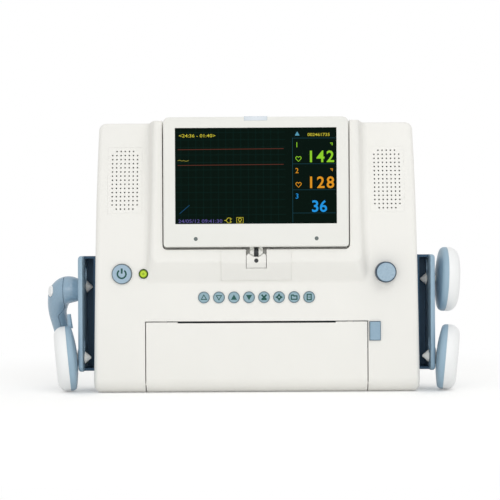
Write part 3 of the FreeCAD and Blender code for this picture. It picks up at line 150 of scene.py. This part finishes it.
fade = add(tree, "MapRange", {"interpolation_type": "SMOOTHSTEP", "From Min": studio["floorFade"][0],
                              "From Max": studio["floorFade"][1]}, {"Value": away.outputs["Value"]})
fade = add(tree, "Math", {"operation": "MULTIPLY"}, {0: fade.outputs[0], 1: seen})
plain = add(tree, "Emission", {"Color": white, "Strength": 1.0})
ground = add(tree, "MixShader", None, {0: fade.outputs[0], 1: lifted.outputs[0], 2: plain.outputs[0]})
tree.links.new(ground.outputs[0], tree.nodes["Material Output"].inputs["Surface"])
floorMesh.materials.append(floorPaper)
print("camera, lamps and floor set")


# Share of a second tone: by depth behind a front face, or by distance from the axis of a round button
def toneShare(tree, where, tone):
    apart = add(tree, "SeparateXYZ", None, {0: where})
    value = apart.outputs["Y"]
    if "centre" in tone:
        centre = [c * mm for c in tone["centre"]]
        across = add(tree, "Math", {"operation": "SUBTRACT", 1: centre[0]}, {0: apart.outputs["X"]})
        if "pitch" in tone:  # the same on each button of a row
            half = tone["pitch"] / 2 * mm
            across = add(tree, "Math", {"operation": "WRAP", 1: half, 2: -half}, {0: across.outputs[0]})
        up = add(tree, "Math", {"operation": "SUBTRACT", 1: centre[2]}, {0: apart.outputs["Z"]})
        flat = add(tree, "CombineXYZ", None, {0: across.outputs[0], 1: up.outputs[0]})
        value = add(tree, "VectorMath", {"operation": "LENGTH"}, {0: flat.outputs[0]}).outputs["Value"]
    share = add(tree, "MapRange", {"From Min": tone["start"] * mm, "From Max": tone["stop"] * mm},
                {"Value": value})
    return share.outputs[0]


# Gloss that varies with a pattern, edges broken, and the pattern as a fine relief
def surface(tree, shader, pattern, look):
    low, high = look["rough"] - look["spread"], look["rough"] + look["spread"]
    gloss = add(tree, "MapRange", {"To Min": low, "To Max": high}, {"Value": pattern})
    tree.links.new(gloss.outputs[0], shader.inputs["Roughness"])
    edge = add(tree, "Bevel", {"samples": 4, "Radius": look["edge"] * mm})
    bump = add(tree, "Bump", {"Strength": look["bump"], "Distance": look["depth"] * mm},
               {"Height": pattern, "Normal": edge.outputs[0]})
    tree.links.new(bump.outputs[0], shader.inputs["Normal"])


# What a moulded finish has unless it says otherwise, lengths in mm
mouldUsual = {
    "cloud": 45,  # size of the faint clouds in the colour
    "grain": 0.7,  # spark-eroded grain, coarser than the real one so that it shows
    "depth": 0.05,  # of the grain
    "spread": 0.06,  # how far the roughness wanders
    "bump": 0.25,
    "edge": 0.3,  # radius of the broken edges
    "ior": 1.5,
    "specular": 0.4,
}


# Moulded plastics and rubbers: fine grain, faint clouding of the colour, edges broken as in a mould
def moulded(name, finish):
    look = {**mouldUsual, **finish}
    material, tree, shader, where = blank(name)
    cloud = add(tree, "TexNoise", {"Scale": 1 / (look["cloud"] * mm), "Detail": 3}, {"Vector": where})
    grain = add(tree, "TexNoise", {"Scale": 1 / (look["grain"] * mm), "Detail": 2}, {"Vector": where})
    colour = add(tree, "Mix", {"data_type": "RGBA", 6: linear(look["dark"]), 7: linear(look["light"])},
                 {0: cloud.outputs["Fac"]})
    if "tone" in look:
        colour = add(tree, "Mix", {"data_type": "RGBA", 7: linear(look["tone"]["colour"])},
                     {0: toneShare(tree, where, look["tone"]), 6: colour.outputs[2]})
    tree.links.new(colour.outputs[2], shader.inputs["Base Color"])
    surface(tree, shader, grain.outputs["Fac"], look)
    shader.inputs["IOR"].default_value = look["ior"]
    shader.inputs["Specular IOR Level"].default_value = look["specular"]
    return material


# What a metal has unless it says otherwise, lengths in mm
metalUsual = {"rough": 0.35, "spread": 0.1, "bump": 0.2, "depth": 0.03, "edge": 0.2}


# Metals: fine lines along one axis from brushing or turning, drawn coarse enough to show
def brushed(name, finish):
    look = {**metalUsual, **finish}
    material, tree, shader, where = blank(name)
    stretch = add(tree, "Mapping", {"Scale": look["stretch"]}, {"Vector": where})
    lines = add(tree, "TexNoise", {"Scale": 1 / (look["line"] * mm), "Detail": 4},
                {"Vector": stretch.outputs[0]})
    colour = add(tree, "Mix", {"data_type": "RGBA", 6: linear(look["dark"]), 7: linear(look["light"])},
                 {0: lines.outputs["Fac"]})
    tree.links.new(colour.outputs[2], shader.inputs["Base Color"])
    surface(tree, shader, lines.outputs["Fac"], look)
    shader.inputs["Metallic"].default_value = 1.0
    return material


# Second tones, each a painted shade round an edge: where each starts and is full, in mm, and its colour
keyPitch = front("key_2")[0] - front("key_1")[0]
latchFace = front("latch_button")[1]
knobShadeRing = {"centre": front("jog_knob"), "start": 8.5, "stop": 9.1, "colour": "#2B4054"}
powerRimShade = {"centre": front("power_button"), "start": 8.5, "stop": 9.1, "colour": "#66747B"}
keyRimShade = {"centre": front("key_1"), "pitch": keyPitch, "start": 4.3, "stop": 5.0, "colour": "#6F8894"}
latchEdgeShade = {"start": latchFace + 0.1, "stop": latchFace + 1.0, "colour": "#45617A"}

# Finishes: a dark and a light tone, roughness, and what differs from the usual
plastics = {
    # ABS, off-white, fine spark-eroded mould: soft broad sheen, no sharp glints
    "absOffWhite": {"dark": "#EDECE7", "light": "#F1F0EB", "rough": 0.46, "bump": 0.18, "edge": 0.2},
    # the same ABS with softer edges, for the hinge cover
    "absCover": {"dark": "#EAE9E4", "light": "#EEEDE8", "rough": 0.46, "bump": 0.18, "edge": 0.9},
    # ABS, off-white, a shade greyer, for the display housing
    "absPearl": {"dark": "#E6E6E0", "light": "#EAEAE5", "rough": 0.44, "bump": 0.15},
    # ABS, pale blue-grey, satin mould: a little more sheen than the casing
    "absPaleBlue": {"dark": "#92AEC1", "light": "#9DB7C9", "rough": 0.42, "bump": 0.3, "edge": 0.5},
    # the same ABS, mottled, with a navy ring of painted shade round the edge of the knob's face
    "absKnob": {"dark": "#83A0B5", "light": "#B3C8D6", "rough": 0.45, "bump": 0.4, "edge": 0.2,
                "cloud": 1.8, "tone": knobShadeRing},
    # the same ABS, with painted shade round the edge of the latch
    "absLatch": {"dark": "#88A5B9", "light": "#96B1C4", "rough": 0.42, "bump": 0.3, "cloud": 3,
                 "tone": latchEdgeShade},
    # the same ABS with painted shade, grey, round the rim of the power button
    "absPower": {"dark": "#95AFC2", "light": "#A5BCCD", "rough": 0.42, "bump": 0.3, "cloud": 4,
                 "tone": powerRimShade},
    # the same ABS, glossier and darker, the darker colour a painted shade, for the hand-held marker
    "absMarker": {"dark": "#86A3B8", "light": "#91ADC1", "rough": 0.26, "bump": 0.12, "edge": 0.4,
                  "specular": 0.8},
    # ABS, navy, satin
    "absNavy": {"dark": "#2F4E68", "light": "#385973", "rough": 0.5, "bump": 0.3, "specular": 0.3},
    # ABS, white, smoother and whiter than the casing, for the probes
    "absWhite": {"dark": "#F1F3F3", "light": "#F6F7F7", "rough": 0.4, "bump": 0.12, "edge": 0.5},
    # silicone rubber keys, pale blue, dull, with painted shade, greyer, round the rim
    "siliconeBlue": {"dark": "#8AA8B4", "light": "#95B2BD", "rough": 0.55, "bump": 0.3, "edge": 0.6,
                     "tone": keyRimShade},
    # nylon, white, for the hanging buttons
    "nylonWhite": {"dark": "#EFF0ED", "light": "#F5F5F2", "rough": 0.5},
    # nylon, natural, slightly yellow, for the gears
    "nylonNatural": {"dark": "#DCD8C6", "light": "#E6E2D2", "rough": 0.45},
    # ABS, black, matte
    "absBlack": {"dark": "#151517", "light": "#1B1B1E", "rough": 0.55, "specular": 0.3},
    # ABS, mid grey, for the small caps
    "absGrey": {"dark": "#5C6664", "light": "#687270", "rough": 0.45, "edge": 0.2},
    # epoxy-glass board under green lacquer
    "boardGreen": {"dark": "#123F26", "light": "#1A5231", "rough": 0.35, "cloud": 6},
    # shrink film round cells
    "filmBlue": {"dark": "#1F3566", "light": "#284177", "rough": 0.3, "cloud": 20},
    # powder coat on steel plate, mid grey
    "powderGrey": {"dark": "#606468", "light": "#6C7074", "rough": 0.5, "grain": 0.9, "bump": 0.4},
    # black oxide on screws
    "blackOxide": {"dark": "#1E2022", "light": "#2A2D30", "rough": 0.45},
    # ground rubber sleeve of the roller, dull black
    "rubberBlack": {"dark": "#141414", "light": "#1C1C1C", "rough": 0.75, "specular": 0.2},
    # thermal paper, smooth coated
    "thermalPaper": {"dark": "#ECEAE3", "light": "#F3F1EB", "rough": 0.65, "grain": 0.4, "bump": 0.1},
    # pad-printed ink on the keys, dull
    "inkGreen": {"dark": "#124B44", "light": "#1A574F", "rough": 0.6, "bump": 0.1, "edge": 0.02},
}
metals = {
    # turned and brushed steel: fine streaks, soft bright glints
    "steelBrushed": {"dark": "#8B8E92", "light": "#A8ABAF", "line": 0.3, "stretch": (0.05, 1, 1)},
    # extruded aluminium bar: paler, with longer streaks
    "aluminiumBar": {"dark": "#A9ABAE", "light": "#BFC1C4", "line": 0.4, "stretch": (0.04, 1, 1)},
}
finishes = {name: moulded(name, look) for name, look in plastics.items()}
finishes.update({name: brushed(name, look) for name, look in metals.items()})


# Colour that glows a little by itself, with an even gloss
def selfLit(tree, shader, colour, look):
    tree.links.new(colour.outputs[2], shader.inputs["Base Color"])
    tree.links.new(colour.outputs[2], shader.inputs["Emission Color"])
    shader.inputs["Emission Strength"].default_value = look["glow"]
    shader.inputs["Roughness"].default_value = look["rough"]
    shader.inputs["Specular IOR Level"].default_value = look["specular"]


# Screen panel: near-black under an anti-glare film, with a faint plotting grid on its left part
screenLook = {
    "ground": "#05110C",
    "grid": "#0B2320",
    "pitch": 7.1,
    "line": 0.3,  # wider than the real hairline, so that it shows
    "soft": 0.2,
    "gridEnd": 28,
    "glow": 0.25,
    "rough": 0.35,
    "specular": 0.01,
}
material, tree, shader, where = blank("antiGlareScreen")
flat = add(tree, "Mapping", {"Rotation": (-math.pi / 2, 0, 0)}, {"Vector": where})
grid = add(tree, "TexBrick", {"offset": 0, "squash": 1, "Scale": 1, "Mortar Smooth": screenLook["soft"],
                              "Mortar Size": screenLook["line"] / 2 * mm,
                              "Brick Width": screenLook["pitch"] * mm,
                              "Row Height": screenLook["pitch"] * mm,
                              "Color1": linear(screenLook["ground"]), "Color2": linear(screenLook["ground"]),
                              "Mortar": linear(screenLook["grid"])}, {"Vector": flat.outputs[0]})
apart = add(tree, "SeparateXYZ", None, {0: where})
left = add(tree, "Math", {"operation": "LESS_THAN", 1: screenLook["gridEnd"] * mm}, {0: apart.outputs["X"]})
colour = add(tree, "Mix", {"data_type": "RGBA", 6: linear(screenLook["ground"])},
             {0: left.outputs[0], 7: grid.outputs["Color"]})
selfLit(tree, shader, colour, screenLook)
finishes["antiGlareScreen"] = material


# Lamp lenses: tinted clear plastic, with the die showing at the core, a bright middle and a darker rim
def lens(name, look):
    material, tree, shader, where = blank(name)
    centred = add(tree, "Mapping", {"Location": [-c * mm for c in look["centre"]]}, {"Vector": where})
    reach = add(tree, "VectorMath", {"operation": "LENGTH"}, {0: centred.outputs[0]}).outputs["Value"]
    share = add(tree, "MapRange", {"From Max": look["core"] * mm}, {"Value": reach})
    colour = add(tree, "Mix", {"data_type": "RGBA", 6: linear(look["die"]), 7: linear(look["middle"])},
                 {0: share.outputs[0]})
    share = add(tree, "MapRange", {"From Min": look["inner"] * mm, "From Max": look["outer"] * mm},
                {"Value": reach})
    colour = add(tree, "Mix", {"data_type": "RGBA", 7: linear(look["rim"])},
                 {0: share.outputs[0], 6: colour.outputs[2]})
    selfLit(tree, shader, colour, look)
    return material


lenses = {
    # lime epoxy of the power light
    "lensLime": {"centre": front("power_lamp"), "core": 2.0, "inner": 2.3, "outer": 3.9, "die": "#738D14",
                 "middle": "#B9D62A", "rim": "#2C4A0A", "glow": 0.08, "rough": 0.2, "specular": 0.2},
    # frosted polycarbonate of the alarm light, unlit, with a faint painted glow
    "lensFrost": {"centre": front("alarm_lamp"), "core": 1.0, "inner": 2, "outer": 12, "die": "#D3DAE0",
                  "middle": "#D3DAE0", "rim": "#C7D0D7", "glow": 0.05, "rough": 0.2, "specular": 0.5},
}
finishes.update({name: lens(name, look) for name, look in lenses.items()})
print("finishes made:", len(finishes))

# Which finish each node wears
probes = ["probe_right_top", "probe_right_low", "probe_left_low"]
dress = {
    "absOffWhite": ["front_housing", "rear_housing", "speaker_grilles", "printer_door"],
    "absCover": ["hinge_cover", "hinge_cap"],
    "absPearl": ["display_bezel", "display_back"],
    "absKnob": ["jog_knob"],
    "absPower": ["power_button"],
    "absLatch": ["latch_button"],
    "absPaleBlue": ["holder_plate_left", "holder_plate_right"] + [probe + "_base" for probe in probes],
    "absMarker": ["marker_outer_shell", "marker_inner_shell"],
    "absNavy": ["holder_rail_left", "holder_rail_right"],
    "absWhite": ["marker_thumb"] + [probe + "_cover" for probe in probes],
    "siliconeBlue": [f"key_{n + 1}" for n in range(8)],
    "nylonWhite": ["marker_button"] + [probe + "_button" for probe in probes],
    "nylonNatural": ["platen_gear", "motor_pinion"],
    "absBlack": ["speakers", "rear_sockets", "jog_encoder"],
    "absGrey": ["bezel_caps"],
    "boardGreen": ["main_board", "keypad_boards"],
    "filmBlue": ["battery_pack"],
    "powderGrey": ["printer_chassis"],
    "blackOxide": ["hinge_cap_screw", "hinge_bracket"],
    "rubberBlack": ["platen_roller"],
    "thermalPaper": ["paper_roll"],
    "steelBrushed": ["case_screws", "hinge_pin", "jog_shaft", "platen_shaft", "stepper_motor"],
    "aluminiumBar": ["print_head"],
    "antiGlareScreen": ["lcd_panel"],
    "lensLime": ["power_lamp"],
    "lensFrost": ["alarm_lamp"],
}
for finish, names in dress.items():
    for name in names:
        for slot in nodes[name].material_slots:
            slot.material = finishes[finish]
print("nodes dressed:", sum(len(names) for names in dress.values()))


# Thin printed and lit marks: strokes from a flattened curve, figures and filled triangles, all closed solids
def strokes(shape, paths, width, at, thick, closed=False):
    curve = bpy.data.curves.new("stroke", "CURVE")
    curve.dimensions = "3D"
    curve.bevel_depth = width / 2 * mm
    curve.bevel_resolution = 1
    curve.use_fill_caps = True
    for line in paths:
        spline = curve.splines.new("POLY")
        spline.points.add(len(line) - 1)
        for point, (across, up) in zip(spline.points, line):
            point.co = (across * mm, 0, up * mm, 1)
        spline.use_cyclic_u = closed
    flatten = Matrix.Diagonal((1, thick / width, 1, 1))
    settle(shape, curve, Matrix.Translation([c * mm for c in at]) @ flatten)


faceHeight = 0.72  # how tall the built-in face's figures are, as a share of its size


def figures(shape, words, tall, at, thick, weight=0.0, align="LEFT", wide=None, space=1.0):
    curve = bpy.data.curves.new("figures", "FONT")
    curve.body = words
    curve.size = tall / faceHeight * mm
    curve.extrude = thick / 2 * mm
    curve.offset = weight * mm
    curve.align_x = align
    curve.space_character = space
    curve.resolution_u = 3
    stand = Matrix.Rotation(math.pi / 2, 4, "X")
    settle(shape, curve, Matrix.Translation([c * mm for c in at]) @ stand, wide)


def settle(shape, curve, place, wide=None):  # a curve becomes a mesh in its place and joins the shape
    holder = bpy.data.objects.new("holder", curve)
    mesh = bpy.data.meshes.new_from_object(holder)
    if wide:
        span = [vertex.co.x for vertex in mesh.vertices]
        mesh.transform(Matrix.Diagonal((wide * mm / (max(span) - min(span)), 1, 1, 1)))
    mesh.transform(place)
    shape.from_mesh(mesh)
    bpy.data.objects.remove(holder)
    bpy.data.meshes.remove(mesh)


def wedge(shape, radius, at, thick, turn=0.0):  # a filled triangle, which points up at turn 0
    place = (Matrix.Translation([c * mm for c in at]) @ Matrix.Rotation(math.pi / 2, 4, "X")
             @ Matrix.Rotation(math.radians(turn), 4, "Z"))
    bmesh.ops.create_cone(shape, cap_ends=True, segments=3, radius1=radius * mm, radius2=radius * mm,
                          depth=thick * mm, matrix=place)


def piece(name, shape, finish, body):  # bmesh to a finished object that rides on a body
    mesh = bpy.data.meshes.new(name)
    bmesh.ops.recalc_face_normals(shape, faces=shape.faces)
    shape.to_mesh(mesh)
    shape.free()
    mesh.materials.append(finish)
    obj = bpy.data.objects.new(name, mesh)
    scene.collection.objects.link(obj)
    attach(obj, body)


def ring(radius, start, stop, steps):  # points of an arc, degrees from the right
    turn = [math.radians(start + (stop - start) * n / steps) for n in range(steps + 1)]
    return [(radius * math.cos(a), radius * math.sin(a)) for a in turn]


def moved(line, across, up, scale=1.0):  # a path scaled and then shifted
    return [(x * scale + across, z * scale + up) for x, z in line]


# Key prints: dark green symbols pad-printed on the key faces
triangle = [(-2.5, -1.8), (2.5, -1.8), (0, 2.4)]
keyPrint = {
    "thick": 0.06,
    "line": 1.8,
    "under": [(x, -z) for x, z in triangle],
    "solid": {"radius": 3.4, "drop": 0.6},  # a filled triangle, moved towards its base
    "arrow": {"radius": 2.1, "out": 1.8},
    "cross": [[(-2.4, -2.4), (2.4, 2.4)], [(-2.4, 2.4), (2.4, -2.4)], [(-1.6, -2.0), (1.6, -2.0)]],
    "folder": [(-2.7, 1.9), (-0.9, 1.9), (-0.2, 1.1), (2.7, 1.1), (2.7, -2.1), (-2.7, -2.1)],
    "page": [(-1.9, -2.6), (1.9, -2.6), (1.9, 2.6), (-1.9, 2.6)],
    "rows": [[(-0.9, 0.9), (0.9, 0.9)], [(-0.9, -0.5), (0.9, -0.5)]],
    "rowLine": 0.5,
}
keyThick = keyPrint["thick"]


def outline(shape, spot, path):  # a closed line
    strokes(shape, [path], keyPrint["line"], spot, keyThick, True)


def solid(shape, spot, turn):  # a filled triangle
    drop = keyPrint["solid"]["drop"] * math.cos(math.radians(turn))
    wedge(shape, keyPrint["solid"]["radius"], (spot[0], spot[1], spot[2] - drop), keyThick, turn)


def arrows(shape, spot, out):  # four arrowheads that point outwards
    for turn in (0, 90, 180, 270):
        side = math.radians(turn)
        tip = (spot[0] - out * math.sin(side), spot[1], spot[2] + out * math.cos(side))
        wedge(shape, keyPrint["arrow"]["radius"], tip, keyThick, turn)


def cross(shape, spot, lines):  # open lines
    strokes(shape, lines, keyPrint["line"], spot, keyThick)


def page(shape, spot, path):  # a sheet with two rows on it
    outline(shape, spot, path)
    strokes(shape, keyPrint["rows"], keyPrint["rowLine"], spot, keyThick)


keySymbols = [
    (outline, triangle), (outline, keyPrint["under"]), (solid, 0), (solid, 180),
    (cross, keyPrint["cross"]), (arrows, keyPrint["arrow"]["out"]),
    (outline, keyPrint["folder"]), (page, keyPrint["page"]),
]
for n, (symbol, drawing) in enumerate(keySymbols):
    shape = bmesh.new()
    symbol(shape, front(f"key_{n + 1}"), drawing)
    piece(f"keyPrint{n + 1}", shape, finishes["inkGreen"], f"key_body_{n + 1}")

# Power mark on the button: an open ring and a bar
powerPrint = {
    "thick": 0.06,
    "line": 1.8,
    "radius": 4.1,
    "open": (126, 414),  # degrees where the ring starts and ends, 36 each side of the top
    "steps": 32,
    "bar": [(0, 0.4), (0, 5.4)],
}
shape = bmesh.new()
openRing = ring(powerPrint["radius"], *powerPrint["open"], powerPrint["steps"])
strokes(shape, [openRing, powerPrint["bar"]], powerPrint["line"], front("power_button"), powerPrint["thick"])
piece("powerPrint", shape, finishes["inkGreen"], "power")
print("prints on the keys and the power button")

# Screen picture: lit marks lying on the panel, plain numbers and symbols, in mm across and up
picture = {
    "face": front("lcd_panel")[1],
    "thick": 0.08,
    "glow": 0.9,
    "dot": 0.5,  # dot pattern, coarser than the panel's own so that it shows
    "dim": 0.8,
    "specular": 0.05,
    "colours": {
        "Yellow": "#D8CC3C", "Red": "#6A3327", "Green": "#9BE22F", "Orange": "#F2A222", "Blue": "#22A2F6",
        "Purple": "#685FA6", "Teal": "#174551", "Sky": "#5FA9C4", "Brown": "#948E38", "Deep": "#144B72",
    },
    "headings": [  # colour, figures, height, left end, foot, weight, width
        ("Yellow", "<24:36 - 01:40>", 3.1, -73, 243.9, 0.03, 34.6),
        ("Yellow", "002461735", 2.9, 49, 244.6, 0.04, 21),
        ("Purple", "24/05/12 09:41:30", 3.3, -73.8, 162.9, 0.0, 41.6),
    ],
    "limits": {"left": -74, "right": 26.4, "heights": (232.2, 217.3), "rise": 0.6, "line": 0.6},
    "trace": [(-74, 221.9), (-72, 222.3), (-70, 221.5), (-68.5, 221.9), (-66, 221.2), (-63.6, 221.9)],
    "slope": [(-72.4, 171.6), (-63, 179.6)],
    "traceLine": 0.7,
    "plugBody": [(-28.4, 165), (-26.6, 167.4), (-24.4, 167.4), (-24.4, 162.6), (-26.6, 162.6)],
    "plugPins": [[(-30, 165), (-28.4, 165)], [(-24.4, 166.4), (-23, 166.4)], [(-24.4, 163.6), (-23, 163.6)]],
    "plugLine": 0.7,
    "badge": [(-18.4, 162.4), (-12.2, 162.4), (-12.2, 167.8), (-18.4, 167.8)],
    "badgeRing": {"radius": 1.5, "stop": 330, "steps": 11, "at": (-15.3, 165.6)},
    "badgeStem": [(-15.3, 164), (-15.3, 163)],
    "badgeLine": 0.6,
    "stemLine": 0.8,
    "frame": {"left": 34.8, "right": 75.6, "foot": 162.6, "top": 243, "rows": (242.7, 218.3, 193.7, 171.7),
              "line": 0.45},
    "arrow": {"radius": 2.6, "at": (39.3, 246.4)},
    "heart": [(0, -2.6), (-2.6, 0.2), (-2.7, 1.4), (-1.7, 2.3), (-0.6, 2.1), (0, 1.2), (0.6, 2.1),
              (1.7, 2.3), (2.7, 1.4), (2.6, 0.2)],
    "heartAt": (40.4, 3),  # across, and above the number's foot
    "heartScale": 0.95,
    "heartLine": 0.75,
    "horn": [(-0.9, 1.1), (1.0, 0.9), (0.9, -1.2)],
    "hornAt": (71.6, 17),  # the same for the loudspeaker mark
    "hornLine": 1.0,
    "rates": [("Green", "1", "142", 220), ("Orange", "2", "128", 195.5)],  # colour, channel, number, foot
    "channel": {"tall": 5, "left": 37.2, "above": 14},
    "number": {"tall": 11, "right": 74.4, "weight": 0.25, "space": 1.2},
    "lastChannel": ("Blue", "3", 185.4),  # colour, channel, foot
    "lastNumber": ("Blue", "36", 67.6, 172.9),  # colour, number, right end, foot
}


def lit(name, code):  # phosphor-like lit mark: colour comes from its own glow, with a fine dot pattern
    material, tree, shader, where = blank(name)
    dots = add(tree, "TexNoise", {"Scale": 1 / (picture["dot"] * mm), "Detail": 1}, {"Vector": where})
    dim = [c * picture["dim"] for c in linear(code)[:3]] + [1]
    colour = add(tree, "Mix", {"data_type": "RGBA", 6: dim, 7: linear(code)}, {0: dots.outputs["Fac"]})
    tree.links.new(colour.outputs[2], shader.inputs["Emission Color"])
    shader.inputs["Emission Strength"].default_value = picture["glow"]
    shader.inputs["Base Color"].default_value = black
    shader.inputs["Specular IOR Level"].default_value = picture["specular"]
    return material


shapes = {name: bmesh.new() for name in picture["colours"]}


def draw(colour, paths, width, closed=False):
    strokes(shapes[colour], paths, width, (0, picture["face"], 0), picture["thick"], closed)


def write(colour, words, tall, across, up, weight=0.0, align="LEFT", wide=None, space=1.0):
    at = (across, picture["face"], up)
    figures(shapes[colour], words, tall, at, picture["thick"], weight, align, wide, space)


for colour, words, tall, across, up, weight, wide in picture["headings"]:
    write(colour, words, tall, across, up, weight, "LEFT", wide)
limits = picture["limits"]
for up in limits["heights"]:
    draw("Red", [[(limits["left"], up), (limits["right"], up + limits["rise"])]], limits["line"])
draw("Brown", [picture["trace"]], picture["traceLine"])
draw("Deep", [picture["slope"]], picture["traceLine"])
draw("Yellow", picture["plugPins"], picture["plugLine"])
draw("Yellow", [picture["plugBody"]], picture["plugLine"], True)
badgeRing = picture["badgeRing"]
badgeArc = moved(ring(badgeRing["radius"], 0, badgeRing["stop"], badgeRing["steps"]), *badgeRing["at"])
draw("Yellow", [picture["badge"], badgeArc], picture["badgeLine"], True)
draw("Yellow", [picture["badgeStem"]], picture["stemLine"])
table = picture["frame"]
tableRows = [[(table["left"], up), (table["right"], up)] for up in table["rows"]]
draw("Teal", [[(table["left"], table["top"]), (table["left"], table["foot"])]] + tableRows, table["line"])
arrow = picture["arrow"]
arrowSpot = (arrow["at"][0], picture["face"], arrow["at"][1])
wedge(shapes["Sky"], arrow["radius"], arrowSpot, picture["thick"])
channel = picture["channel"]
number = picture["number"]
for colour, digit, rate, foot in picture["rates"]:
    write(colour, digit, channel["tall"], channel["left"], foot + channel["above"])
    write(colour, rate, number["tall"], number["right"], foot, number["weight"], "RIGHT", None,
          number["space"])
    heartSpot = (picture["heartAt"][0], foot + picture["heartAt"][1])
    hornSpot = (picture["hornAt"][0], foot + picture["hornAt"][1])
    draw(colour, [moved(picture["heart"], *heartSpot, picture["heartScale"])], picture["heartLine"], True)
    draw(colour, [moved(picture["horn"], *hornSpot)], picture["hornLine"], True)
colour, digit, foot = picture["lastChannel"]
write(colour, digit, channel["tall"], channel["left"], foot)
colour, digits, right, foot = picture["lastNumber"]
write(colour, digits, number["tall"], right, foot, number["weight"], "RIGHT")
for name, shape in shapes.items():
    piece("picture" + name, shape, lit("lit" + name, picture["colours"][name]), "display")
print("screen picture drawn")
